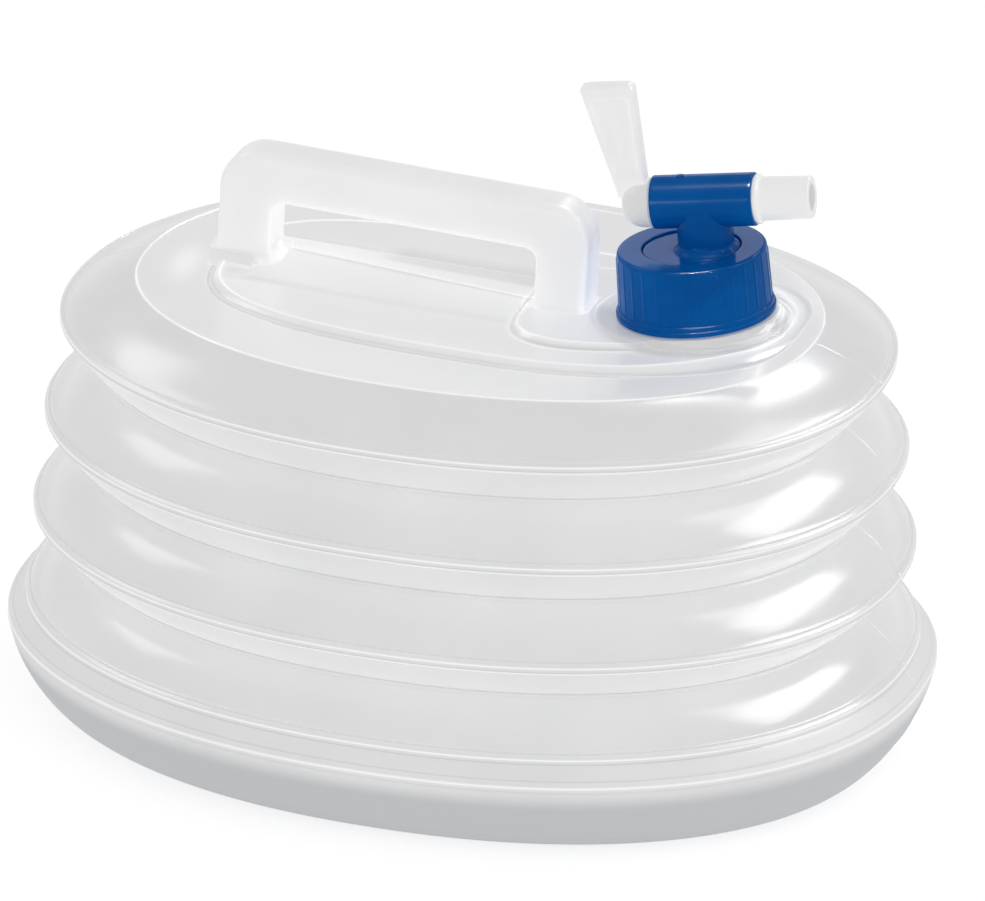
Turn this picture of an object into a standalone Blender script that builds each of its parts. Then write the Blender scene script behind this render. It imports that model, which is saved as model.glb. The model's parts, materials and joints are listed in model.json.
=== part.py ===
# Collapsible water carrier: an oval bellows tank with a loop handle and a screw cap that holds a tap.
# Metres, +Z up. The origin is the centre of the flat bottom, and +X points to the spout.

import math

import bmesh
import bpy
from mathutils import Matrix, Vector

# General clearances and facet counts
SEAT_GAP = 0.0003
CUT_OVERRUN = 0.004
OVAL_SEGMENTS = 40
ROUND_SEGMENTS = 32
OVAL_POWER = 2.16
CREST_WIDTH_SHARE = 0.806

# Bellows: four crests, the first at the shoulder and the last on the base
CREST_LENGTHS = CREST_1_LENGTH, CREST_2_LENGTH, CREST_3_LENGTH, CREST_4_LENGTH = 0.2812, 0.2910, 0.2982, 0.3032
BASE_CREST_HEIGHT = 0.0386
FOLD_STACK_HEIGHT = 0.1002
CREST_HEIGHT_SHARES = (1.0, 0.658, 0.319, 0.0)
FOLD_DEPTH = 0.0160
CREST_FLAT = 0.0012
HINGE_REACH = 0.0032
PANEL_WALL = 0.0014
PANEL_BULGE = 0.0009

# Base tray
BASE_LENGTH = 0.3150
BASE_BAND_HEIGHT = 0.0307
BASE_BAND_FLAT = 0.0014
BASE_WALL_POWER = 1.62
BASE_WALL_STEPS = 5
FLOOR_LENGTH = 0.2746
FLOOR_WIDTH = 0.2052
FOOT_RIM = 0.0060
SHELL_WALL = 0.0018

# Shoulder and deck
CREASE_WIDTH = 0.1690
SHOULDER_RISE = 0.0112
SHOULDER_POWER = 1.22
SHOULDER_STEPS = 5
DECK_DIP_X = 0.0300
DECK_DIP_ROUNDING = 0.0200
DECK_REAR_SLOPE_SHARE = 0.025
DECK_FRONT_SLOPE_SHARE = 0.070
PLATFORM_REAR_MARGIN = 0.0260
PLATFORM_FRONT_MARGIN = 0.0045
PLATFORM_WIDTH = 0.1020
PLATFORM_POWER = 2.8
PLATFORM_RAISE = 0.0018
PLATFORM_BANK = 0.0026
PAD_REAR_LEDGE = 0.0091
PAD_FRONT_LEDGE = 0.0045
PAD_SIDE_LEDGE = 0.0064
PAD_RAISE = 0.0016
PAD_BANK = 0.0020
SPINE_REAR_LEDGE = 0.0060
SPINE_HIP_LENGTH = 0.0100
SPINE_WIDTH = 0.0390
SPINE_SIDE = 0.0003
SPINE_REAR_RAISE = 0.0044
SPINE_FRONT_RAISE = 0.0002

# Carry handle
HANDLE_REAR_MARGIN = 0.0255
HANDLE_CAP_CLEARANCE = 0.0098
HANDLE_TILT = math.radians(2.3)
HANDLE_LENGTH = 0.1295
HANDLE_HEIGHT = 0.0394
HANDLE_THICKNESS = 0.0160
HANDLE_BAR_DEPTH = 0.0172
HANDLE_REAR_LEG = 0.0195
HANDLE_FRONT_LEG = 0.0184
HANDLE_CORNER_RADIUS = 0.0138
HANDLE_SLOT_RADIUS = 0.0045
HANDLE_EDGE_RADIUS = 0.0032
HANDLE_CORNER_STEPS = 5
PLINTH_LEDGE = 0.0042
PLINTH_MARGIN = 0.0012
PLINTH_HEIGHT = 0.0036
PLINTH_BEVEL = 0.0008

# Filler neck
NECK_FRONT_MARGIN = 0.0140
NECK_RAISE = 0.0031
NECK_TILT = math.radians(6.0)
NECK_RADIUS = 0.0212
NECK_WALL = 0.0022
NECK_BEAD_RADIUS = 0.0223
NECK_BEAD_HEIGHT = 0.0010
NECK_BEAD_WIDTH = 0.0015
NECK_LIP_BEVEL = 0.0005
CAP_SEAT_GAP = 0.0006

# Screw cap and gasket
CAP_HEIGHT = 0.0224
CAP_FLANGE_RADIUS = 0.0266
CAP_FLANGE_STEP = 0.0016
CAP_SKIRT_RADIUS = 0.0254
CAP_TOP_RADIUS = 0.0249
CAP_INNER_RADIUS = 0.0229
CAP_TOP_THICKNESS = 0.0018
CAP_TOP_BEVEL = 0.0010
CAP_HOLE_RADIUS = 0.0166
CAP_SEGMENTS = 40
GASKET_THICKNESS = 0.0015

# Tap body
TAP_SWIVEL = math.radians(5.0)
TAP_FLANGE_THICKNESS = 0.0025
TAP_FLANGE_MARGIN = 0.0009
TAP_BOSS_RECESS = 0.0006
STEM_OFFSET = 0.0051
STEM_RADIUS = 0.00935
STEM_FLARE = 0.0018
STEM_FLARE_HEIGHT = 0.0024
STEM_BORE_RADIUS = 0.0045
BARREL_HEIGHT = 0.0385
BARREL_RISE = math.radians(2.3)
BARREL_REAR = 0.0165
BARREL_FRONT = 0.0180
BARREL_RADIUS = 0.0089
BARREL_BORE_RADIUS = 0.0076
BARREL_EDGE = 0.0004

# Rotary plug, its two seals and its lever
SPOUT_LENGTH = 0.0190
SPOUT_RADIUS = 0.0071
SPOUT_BORE_RADIUS = 0.0046
SPOUT_RIM_BEVEL = 0.0004
PLUG_END_WALL = 0.0030
PLUG_BEAD_RADIUS = 0.0080
PLUG_BEAD_WIDTH = 0.0016
PORT_RADIUS = 0.0034
SEAL_THICKNESS = 0.0010
SEAL_PLACE_SHARE = 0.68
SEAL_SIDES = 6
DRIVE_RADIUS = 0.0042
DRIVE_LENGTH = 0.0055
HUB_RADIUS = 0.0080
HUB_LENGTH = 0.0102
HUB_DOME = 0.0060
HUB_DOME_STEPS = 4
LEVER_HEIGHT = 0.0422
LEVER_SETBACK = 0.0011
LEVER_ROOT_WIDTH = 0.0099
LEVER_TOP_WIDTH = 0.0184
LEVER_LEAN = 0.0049
LEVER_THICKNESS = 0.0046
LEVER_RIM_HEIGHT = 0.0050
LEVER_RIM_THICKNESS = 0.0064
LEVER_TOP_ROUND = 0.0016
LEVER_EDGE_RADIUS = 0.0012

FROSTED = (0.80, 0.81, 0.83), 0.34
HANDLE_WHITE = (0.84, 0.85, 0.87), 0.38
TAP_BLUE = (0.004, 0.078, 0.285), 0.24
TAP_WHITE = (0.84, 0.85, 0.85), 0.36
SEAL_BLACK = (0.030, 0.030, 0.032), 0.70
GASKET_WHITE = (0.70, 0.71, 0.72), 0.60

# Values worked out from the sizes above
CAP_FLANGE_WIDTH = 2 * CAP_FLANGE_RADIUS
FRONT_PIECES_LENGTH = HANDLE_CAP_CLEARANCE + CAP_FLANGE_WIDTH
CREASE_LENGTH = HANDLE_REAR_MARGIN + HANDLE_LENGTH + FRONT_PIECES_LENGTH + NECK_FRONT_MARGIN
HANDLE_X = HANDLE_REAR_MARGIN + HANDLE_LENGTH / 2 - CREASE_LENGTH / 2
NECK_X = CREASE_LENGTH / 2 - NECK_FRONT_MARGIN - CAP_FLANGE_RADIUS
PLATFORM_LENGTH = CREASE_LENGTH - PLATFORM_REAR_MARGIN - PLATFORM_FRONT_MARGIN
PLATFORM_X = (PLATFORM_REAR_MARGIN - PLATFORM_FRONT_MARGIN) / 2
PAD_LENGTH = PAD_REAR_LEDGE + HANDLE_FRONT_LEG + FRONT_PIECES_LENGTH + PAD_FRONT_LEDGE
PAD_WIDTH = CAP_FLANGE_WIDTH + 2 * PAD_SIDE_LEDGE
PAD_X = NECK_X + CAP_FLANGE_RADIUS + PAD_FRONT_LEDGE - PAD_LENGTH / 2
SEAL_CENTRE_RADIUS = BARREL_BORE_RADIUS - SEAT_GAP / 3 - SEAL_THICKNESS / 2
PLUG_RADIUS = BARREL_BORE_RADIUS - SEAT_GAP
CREST_HEIGHTS = [BASE_CREST_HEIGHT + FOLD_STACK_HEIGHT * share for share in CREST_HEIGHT_SHARES]
CREASE_HEIGHT = CREST_HEIGHTS[0] + SHOULDER_RISE
TAP_FLANGE_RADIUS = CAP_INNER_RADIUS - TAP_FLANGE_MARGIN
TAP_FLANGE_TOP = CAP_HEIGHT - CAP_TOP_THICKNESS - SEAT_GAP
TAP_FLANGE_BOTTOM = TAP_FLANGE_TOP - TAP_FLANGE_THICKNESS
GASKET_BOTTOM = TAP_FLANGE_BOTTOM - SEAT_GAP - GASKET_THICKNESS
NECK_RIM = GASKET_BOTTOM - SEAT_GAP


def clear_scene():
    for thing in list(bpy.data.objects):
        bpy.data.objects.remove(thing, do_unlink=True)


def add_material(thing, finish):
    colour, roughness = finish
    paint = bpy.data.materials.new(thing.name + "_material")
    paint.use_nodes = True
    shader = paint.node_tree.nodes["Principled BSDF"]
    shader.inputs["Base Color"].default_value = (*colour, 1.0)
    shader.inputs["Roughness"].default_value = roughness
    shader.inputs["Metallic"].default_value = 0.0
    thing.data.materials.append(paint)


def add_object(name, mesh, finish=None, frame=None):
    """Puts a mesh into the scene; without a finish it is a hidden tool for a Boolean."""
    thing = bpy.data.objects.new(name, mesh)
    bpy.context.scene.collection.objects.link(thing)
    thing.parent = frame
    if finish:
        add_material(thing, finish)
    else:
        thing.hide_render = True
        thing.display_type = "WIRE"
    return thing


def add_frame(name, location, turn, parent=None):
    frame = bpy.data.objects.new(name, None)
    bpy.context.scene.collection.objects.link(frame)
    frame.location = location
    frame.rotation_euler = turn
    frame.parent = parent
    return frame


def skin(name, rings, looped=False):
    """Joins rings of equal point counts with quads; open ends are filled, a loop closes on itself."""
    shape = bmesh.new()
    rows = [[shape.verts.new(point) for point in ring] for ring in rings]
    pairs = list(zip(rows, rows[1:]))
    if looped:
        pairs.append((rows[-1], rows[0]))
    else:
        shape.faces.new(rows[0])
        shape.faces.new(rows[-1])
    for lower, upper in pairs:
        count = len(lower)
        for k in range(count):
            after = (k + 1) % count
            shape.faces.new((lower[k], lower[after], upper[after], upper[k]))
    bmesh.ops.recalc_face_normals(shape, faces=shape.faces)
    mesh = bpy.data.meshes.new(name)
    shape.to_mesh(mesh)
    shape.free()
    mesh.shade_smooth()
    mesh.set_sharp_from_angle(angle=math.radians(32.0))
    return mesh


def turned(name, profile, segments=ROUND_SEGMENTS, looped=False):
    """Turns a profile of (radius, height) points round Z; its open ends are closed with flat faces."""
    rings = []
    for radius, height in profile:
        angles = [math.tau * k / segments for k in range(segments)]
        rings.append([Vector((radius * math.cos(a), radius * math.sin(a), height)) for a in angles])
    return skin(name, rings, looped)


def lying(mesh):
    """Lays a turned mesh down so that its axis runs along X."""
    mesh.transform(Matrix.Rotation(math.pi / 2, 4, "Y"))
    return mesh


def combine(thing, tool, operation):
    step = thing.modifiers.new(operation.lower() + "_" + tool.name, "BOOLEAN")
    step.operation = operation
    step.solver = "EXACT"
    step.object = tool


def signed_power(value, power):
    return math.copysign(abs(value) ** power, value)


def oval(half_length, half_width, height, power=OVAL_POWER):
    """A superellipse ring round the tank's axis."""
    ring = []
    for k in range(OVAL_SEGMENTS):
        angle = math.tau * k / OVAL_SEGMENTS
        x = half_length * signed_power(math.cos(angle), 2 / power)
        y = half_width * signed_power(math.sin(angle), 2 / power)
        ring.append(Vector((x, y, height)))
    return ring


def curved(start, end, power, steps):
    """Ring sizes from start to end that leave start upright and arrive at end level."""
    sizes = []
    for k in range(steps + 1):
        angle = math.pi / 2 * k / steps
        inward = 1 - math.cos(angle) ** (2 / power)
        along = math.sin(angle) ** (2 / power)
        length = start[0] + (end[0] - start[0]) * inward
        width = start[1] + (end[1] - start[1]) * inward
        sizes.append((length, width, start[2] + (end[2] - start[2]) * along))
    return sizes


def direction(start, end):
    run = Vector((end[0] - start[0], end[2] - start[2]))
    return run.normalized()


def inset(sizes, wall):
    """Moves ring sizes that run from top to bottom inwards by a wall, with mitred corners."""
    inner = []
    last = len(sizes) - 1
    for k, (length, width, height) in enumerate(sizes):
        before = direction(sizes[k - 1], sizes[k]) if k else direction(sizes[0], sizes[1])
        after = direction(sizes[k], sizes[k + 1]) if k < last else before
        mitre = wall / (1 + before.dot(after))
        inward = (before.y + after.y) * mitre
        upward = -(before.x + after.x) * mitre
        inner.append((length + inward, width + inward, height + upward))
    return inner


def toward(start, end, distance):
    """The ring size that lies a distance from start on the way to end."""
    gap = math.hypot(end[0] - start[0], end[2] - start[2])
    return tuple(a + (b - a) * distance / gap for a, b in zip(start, end))


def tank_ring(name, outer, inner, finish):
    loop = [oval(*size) for size in outer + inner[::-1]]
    return add_object(name, skin(name, loop, looped=True), finish)


def crest_size(index, height):
    half = CREST_LENGTHS[index] / 2
    return half, half * CREST_WIDTH_SHARE, height


def valley_size(index):
    """The valley under a crest: midway between two crests and one fold depth inside them."""
    upper = crest_size(index, CREST_HEIGHTS[index])
    lower = crest_size(index + 1, CREST_HEIGHTS[index + 1])
    length, width, height = ((a + b) / 2 for a, b in zip(upper, lower))
    return length - FOLD_DEPTH, width - FOLD_DEPTH, height


def fold_corners():
    """The bellows' outer corners from the first crest down to the last, with the hinge lines by each crest."""
    corners = []
    for index, height in enumerate(CREST_HEIGHTS):
        top_edge = crest_size(index, height)
        low_edge = crest_size(index, height - CREST_FLAT)
        if index:
            corners.append(toward(top_edge, valley_size(index - 1), HINGE_REACH))
        corners.append(top_edge)
        corners.append(low_edge)
        if index < len(CREST_HEIGHTS) - 1:
            corners.append(toward(low_edge, valley_size(index), HINGE_REACH))
            corners.append(valley_size(index))
    return corners


def bulged_panel(start, end, bulge):
    """One fold panel from start down to end, its middle pushed out square to it, short of both ends."""
    first = toward(start, end, SEAT_GAP / 2)
    last = toward(end, start, SEAT_GAP / 2)
    run = direction(first, last)
    length, width, height = ((a + b) / 2 for a, b in zip(first, last))
    middle = (length - run.y * bulge, width - run.y * bulge, height + run.x * bulge)
    return [first, middle, last]


def build_bellows():
    """Six fold panels and the two free crest rings between them; crests one and four belong to the shells."""
    outer = fold_corners()
    inner = inset(outer, PANEL_WALL)
    valley = 3
    per_fold = 5
    for fold in range(len(CREST_LENGTHS) - 1):
        for side in range(2):
            top = valley - 1 + side + fold * per_fold
            name = "bellows_panel_" + str(2 * fold + side + 1)
            skin_outer = bulged_panel(outer[top], outer[top + 1], PANEL_BULGE)
            skin_inner = bulged_panel(inner[top], inner[top + 1], PANEL_BULGE)
            tank_ring(name, skin_outer, skin_inner, FROSTED)
    for name, first in (("crest_ring_upper", valley + 1), ("crest_ring_lower", valley + 1 + per_fold)):
        band = slice(first, first + per_fold - 1)
        tank_ring(name, outer[band], inner[band], FROSTED)


def build_base():
    corners = fold_corners()
    band_top = BASE_LENGTH / 2, BASE_LENGTH / 2 * CREST_WIDTH_SHARE, BASE_BAND_HEIGHT
    band_low = (*band_top[:2], BASE_BAND_HEIGHT - BASE_BAND_FLAT)
    foot = FLOOR_LENGTH / 2, FLOOR_WIDTH / 2, 0.0
    lower_wall = curved(band_low, foot, BASE_WALL_POWER, BASE_WALL_STEPS)
    foot_end = foot[0] - FOOT_RIM, foot[1] - FOOT_RIM, 0.0
    outer = corners[-3:] + [band_top] + lower_wall + [foot_end]
    inner = inset(outer, SHELL_WALL)
    inner[0] = inset(corners[-3:], PANEL_WALL)[0]
    inner[-1] = (*foot_end[:2], SHELL_WALL)
    tank_ring("base_wall", outer, inner, FROSTED)
    edge = foot_end[0] - SEAT_GAP, foot_end[1] - SEAT_GAP
    floor = [oval(*edge, 0.0), oval(*edge, SHELL_WALL)]
    add_object("base_floor", skin("base_floor", floor), FROSTED)


def build_shoulder():
    corners = fold_corners()
    crease = CREASE_LENGTH / 2 + SEAT_GAP, CREASE_WIDTH / 2 + SEAT_GAP, CREASE_HEIGHT
    slope = curved(corners[0], crease, SHOULDER_POWER, SHOULDER_STEPS)
    outer = slope[::-1] + corners[1:3]
    inner = inset(outer, SHELL_WALL)
    inner[0] = (*crease[:2], CREASE_HEIGHT - SHELL_WALL)
    inner[-1] = inset(corners[:3], PANEL_WALL)[-1]
    tank_ring("shoulder_ring", outer, inner, FROSTED)


def deck_height(x):
    """Height of the deck along the tank: it dips in front of the handle and rises to both ends."""
    along = x - DECK_DIP_X
    slope = DECK_REAR_SLOPE_SHARE if along < 0 else DECK_FRONT_SLOPE_SHARE
    return CREASE_HEIGHT + slope * (math.hypot(along, DECK_DIP_ROUNDING) - DECK_DIP_ROUNDING)


def deck_outline(centre, length, width, power, bank, raise_by):
    """A superellipse on the deck, drawn in by its bank and raised off the deck."""
    ring = []
    for point in oval(length / 2 - bank, width / 2 - bank, 0, power):
        x = centre + point.x
        ring.append(Vector((x, point.y, deck_height(x) + raise_by)))
    return ring


def neck_matrix():
    height = deck_height(NECK_X) + NECK_RAISE + CAP_SEAT_GAP
    return Matrix.Translation((NECK_X, 0, height)) @ Matrix.Rotation(-NECK_TILT, 4, "Y")


def neck_circle(radius, height):
    """A ring round the neck's own axis, with the deck's point count."""
    ring = []
    for k in range(OVAL_SEGMENTS):
        angle = math.tau * k / OVAL_SEGMENTS
        ring.append(neck_matrix() @ Vector((radius * math.cos(angle), radius * math.sin(angle), height)))
    return ring


def deck_rings(hole_radius):
    """The deck's upper face from the crease in to the neck: gutter, platform bank, platform, pad bank, pad."""
    return [
        oval(CREASE_LENGTH / 2, CREASE_WIDTH / 2, CREASE_HEIGHT),
        deck_outline(PLATFORM_X, PLATFORM_LENGTH, PLATFORM_WIDTH, PLATFORM_POWER, 0, -PLATFORM_RAISE),
        deck_outline(PLATFORM_X, PLATFORM_LENGTH, PLATFORM_WIDTH, PLATFORM_POWER, PLATFORM_BANK, 0),
        deck_outline(PAD_X, PAD_LENGTH, PAD_WIDTH, OVAL_POWER, 0, 0),
        deck_outline(PAD_X, PAD_LENGTH, PAD_WIDTH, OVAL_POWER, PAD_BANK, PAD_RAISE),
        neck_circle(CAP_FLANGE_RADIUS + CAP_SEAT_GAP, -CAP_SEAT_GAP),
        neck_circle(hole_radius, -CAP_SEAT_GAP),
    ]


def lowered(ring, distance):
    return [point - Vector((0, 0, distance)) for point in ring]


def spine_tool(name, lift):
    """The gable under the handle: hipped at the rear, with a ridge that falls towards the front leg."""
    rear = HANDLE_X - HANDLE_LENGTH / 2 + SPINE_REAR_LEDGE
    front = HANDLE_X + HANDLE_LENGTH / 2 - HANDLE_FRONT_LEG / 2
    ridge_rear = rear + SPINE_HIP_LENGTH
    places = (
        (rear, 0),
        (ridge_rear, SPINE_REAR_RAISE),
        ((ridge_rear + front) / 2, (SPINE_REAR_RAISE + SPINE_FRONT_RAISE) / 2),
        (front, SPINE_FRONT_RAISE),
    )
    half = SPINE_WIDTH / 2
    sections = []
    for x, ridge_raise in places:
        foot = deck_height(x) - SHELL_WALL / 2
        side = deck_height(x) + SPINE_SIDE + lift
        outline = ((half, foot), (half, side), (0, side + ridge_raise), (-half, side), (-half, foot))
        sections.append([Vector((x, y, z)) for y, z in outline])
    tool = add_object(name, skin(name, sections))
    tool.modifiers.new("flat_faces", "TRIANGULATE").quad_method = "FIXED"
    return tool


def build_deck():
    upper = deck_rings(NECK_RADIUS + SEAT_GAP)
    lower = [lowered(ring, SHELL_WALL) for ring in upper[:-1]]
    lower.append(neck_circle(NECK_RADIUS + SEAT_GAP, -CAP_SEAT_GAP - SHELL_WALL))
    deck = add_object("top_deck", skin("top_deck", upper + lower[::-1], looped=True), FROSTED)
    combine(deck, spine_tool("tool_spine", 0), "UNION")


def deck_cutter():
    """Everything up to one seat gap over the deck, to trim the handle's feet to it."""
    upper = [lowered(ring, -SEAT_GAP) for ring in deck_rings(NECK_RADIUS)]
    bottom = oval(CREASE_LENGTH / 2, CREASE_WIDTH / 2, CREASE_HEIGHT - HANDLE_HEIGHT)
    return add_object("cutter_deck", skin("cutter_deck", [bottom] + upper))


def rounded_rectangle(centre, length, width, height, radius):
    """A level rectangle centred on X with rounded corners."""
    ring = []
    for quarter, (along, side) in enumerate(((1, 1), (-1, 1), (-1, -1), (1, -1))):
        for k in range(3):
            angle = math.pi / 2 * (quarter + k / 2)
            x = centre + along * (length / 2 - radius) + radius * math.cos(angle)
            y = side * (width / 2 - radius) + radius * math.sin(angle)
            ring.append(Vector((x, y, height)))
    return ring


def rounded_section(inner, outer, half_thickness, radius):
    """A rounded rectangle that spans from an inner to an outer point of the handle's side view."""
    across = outer - inner
    reach = across.normalized()
    corner_steps = 3
    ring = []
    for quarter, (base, side) in enumerate(((outer, 1), (inner, 1), (inner, -1), (outer, -1))):
        sign = 1 if base is outer else -1
        centre_reach = base - reach * radius * sign
        for k in range(corner_steps):
            angle = math.pi / 2 * (quarter + k / (corner_steps - 1))
            x = centre_reach.x + reach.x * radius * math.cos(angle)
            z = centre_reach.y + reach.y * radius * math.cos(angle)
            y = side * (half_thickness - radius) + radius * math.sin(angle)
            ring.append(Vector((x, y, z)))
    return ring


def handle_stations():
    """Pairs of inner and outer points round the loop, from the rear foot over the bar to the front foot."""
    half = HANDLE_LENGTH / 2
    slot_top = HANDLE_HEIGHT - HANDLE_BAR_DEPTH
    slot_rear = -half + HANDLE_REAR_LEG
    slot_front = half - HANDLE_FRONT_LEG
    below = -HANDLE_EDGE_RADIUS - CUT_OVERRUN
    stations = [(Vector((slot_rear, below)), Vector((-half, below)))]
    for first_angle, slot_x, outer_x, side in ((math.pi, slot_rear, -half, 1), (math.pi / 2, slot_front, half, -1)):
        slot_centre = Vector((slot_x + side * HANDLE_SLOT_RADIUS, slot_top - HANDLE_SLOT_RADIUS))
        outer_centre = Vector((outer_x + side * HANDLE_CORNER_RADIUS, HANDLE_HEIGHT - HANDLE_CORNER_RADIUS))
        for k in range(HANDLE_CORNER_STEPS + 1):
            angle = first_angle - math.pi / 2 * k / HANDLE_CORNER_STEPS
            ray = Vector((math.cos(angle), math.sin(angle)))
            stations.append((slot_centre + ray * HANDLE_SLOT_RADIUS, outer_centre + ray * HANDLE_CORNER_RADIUS))
    stations.append((Vector((slot_front, below)), Vector((half, below))))
    return stations


def build_handle():
    half_thickness = HANDLE_THICKNESS / 2
    rings = [rounded_section(a, b, half_thickness, HANDLE_EDGE_RADIUS) for a, b in handle_stations()]
    handle = add_object("carry_handle", skin("carry_handle", rings), HANDLE_WHITE)
    handle.location = HANDLE_X, 0, deck_height(HANDLE_X)
    handle.rotation_euler = 0, HANDLE_TILT, 0
    length = HANDLE_REAR_LEG + PLINTH_LEDGE
    centre = HANDLE_REAR_LEG / 2 - PLINTH_LEDGE / 2 - HANDLE_LENGTH / 2
    width = HANDLE_THICKNESS + 2 * PLINTH_MARGIN
    bevel = 2 * PLINTH_BEVEL
    plinth_rings = [
        rounded_rectangle(centre, length, width, -CUT_OVERRUN, HANDLE_EDGE_RADIUS),
        rounded_rectangle(centre, length, width, PLINTH_HEIGHT - bevel, HANDLE_EDGE_RADIUS),
        rounded_rectangle(centre, length - bevel, width - bevel, PLINTH_HEIGHT, HANDLE_EDGE_RADIUS),
    ]
    plinth = add_object("tool_plinth", skin("tool_plinth", plinth_rings))
    plinth.parent = handle
    combine(handle, plinth, "UNION")
    combine(handle, deck_cutter(), "DIFFERENCE")
    combine(handle, spine_tool("cutter_spine", SEAT_GAP), "DIFFERENCE")


def build_neck(frame):
    root = -CAP_SEAT_GAP - SHELL_WALL
    bead_top = NECK_BEAD_HEIGHT + NECK_BEAD_WIDTH
    bore = NECK_RADIUS - NECK_WALL
    profile = [
        (NECK_RADIUS, root),
        (NECK_RADIUS, NECK_BEAD_HEIGHT),
        (NECK_BEAD_RADIUS, NECK_BEAD_HEIGHT),
        (NECK_BEAD_RADIUS, bead_top),
        (NECK_RADIUS, bead_top),
        (NECK_RADIUS, NECK_RIM - NECK_LIP_BEVEL),
        (NECK_RADIUS - NECK_LIP_BEVEL, NECK_RIM),
        (bore, NECK_RIM),
        (bore, root),
    ]
    add_object("filler_neck", turned("filler_neck", profile, OVAL_SEGMENTS, looped=True), FROSTED, frame)


def build_cap(frame):
    under = CAP_HEIGHT - CAP_TOP_THICKNESS
    profile = [
        (CAP_INNER_RADIUS, 0),
        (CAP_FLANGE_RADIUS, 0),
        (CAP_FLANGE_RADIUS, CAP_FLANGE_STEP),
        ((CAP_FLANGE_RADIUS + CAP_SKIRT_RADIUS) / 2, CAP_FLANGE_STEP),
        ((CAP_FLANGE_RADIUS + CAP_SKIRT_RADIUS) / 2, 2 * CAP_FLANGE_STEP),
        (CAP_SKIRT_RADIUS, 2 * CAP_FLANGE_STEP),
        (CAP_TOP_RADIUS, CAP_HEIGHT - CAP_TOP_BEVEL),
        (CAP_TOP_RADIUS - CAP_TOP_BEVEL, CAP_HEIGHT),
        (CAP_HOLE_RADIUS, CAP_HEIGHT),
        (CAP_HOLE_RADIUS, under),
        (CAP_INNER_RADIUS, under),
    ]
    add_object("cap_ring", turned("cap_ring", profile, CAP_SEGMENTS, looped=True), TAP_BLUE, frame)
    top = GASKET_BOTTOM + GASKET_THICKNESS
    bore = NECK_RADIUS - NECK_WALL
    washer = [
        (bore, GASKET_BOTTOM),
        (TAP_FLANGE_RADIUS, GASKET_BOTTOM),
        (TAP_FLANGE_RADIUS, top),
        (bore, top),
    ]
    add_object("cap_gasket", turned("cap_gasket", washer, OVAL_SEGMENTS, looped=True), GASKET_WHITE, frame)


def build_tap_body(frame, barrel_frame):
    boss_radius = CAP_HOLE_RADIUS - SEAT_GAP
    boss_top = CAP_HEIGHT - TAP_BOSS_RECESS
    disc = [
        (TAP_FLANGE_RADIUS, TAP_FLANGE_BOTTOM),
        (TAP_FLANGE_RADIUS, TAP_FLANGE_TOP),
        (boss_radius, TAP_FLANGE_TOP),
        (boss_radius, boss_top),
    ]
    tap = add_object("tap_body", turned("tap_body", disc), TAP_BLUE, frame)
    column = [
        (STEM_RADIUS + STEM_FLARE, TAP_FLANGE_TOP),
        (STEM_RADIUS + STEM_FLARE, boss_top),
        (STEM_RADIUS, boss_top + STEM_FLARE_HEIGHT),
        (STEM_RADIUS, BARREL_HEIGHT),
    ]
    stem = add_object("tool_stem", turned("tool_stem", column), frame=frame)
    stem.location.x = STEM_OFFSET
    tube = [
        (BARREL_RADIUS - BARREL_EDGE, -BARREL_REAR),
        (BARREL_RADIUS, -BARREL_REAR + BARREL_EDGE),
        (BARREL_RADIUS, BARREL_FRONT - BARREL_EDGE),
        (BARREL_RADIUS - BARREL_EDGE, BARREL_FRONT),
    ]
    barrel = add_object("tool_barrel", lying(turned("tool_barrel", tube)), frame=barrel_frame)
    bore = [(BARREL_BORE_RADIUS, -BARREL_REAR - CUT_OVERRUN), (BARREL_BORE_RADIUS, BARREL_FRONT + CUT_OVERRUN)]
    barrel_bore = add_object("cutter_barrel_bore", lying(turned("cutter_barrel_bore", bore)), frame=barrel_frame)
    channel = [(STEM_BORE_RADIUS, TAP_FLANGE_BOTTOM - CUT_OVERRUN), (STEM_BORE_RADIUS, BARREL_HEIGHT)]
    stem_bore = add_object("cutter_stem_bore", turned("cutter_stem_bore", channel), frame=frame)
    stem_bore.location.x = STEM_OFFSET
    combine(tap, stem, "UNION")
    combine(tap, barrel, "UNION")
    combine(tap, barrel_bore, "DIFFERENCE")
    combine(tap, stem_bore, "DIFFERENCE")


def seal_places():
    return BARREL_FRONT * SEAL_PLACE_SHARE, -BARREL_REAR * SEAL_PLACE_SHARE


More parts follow.
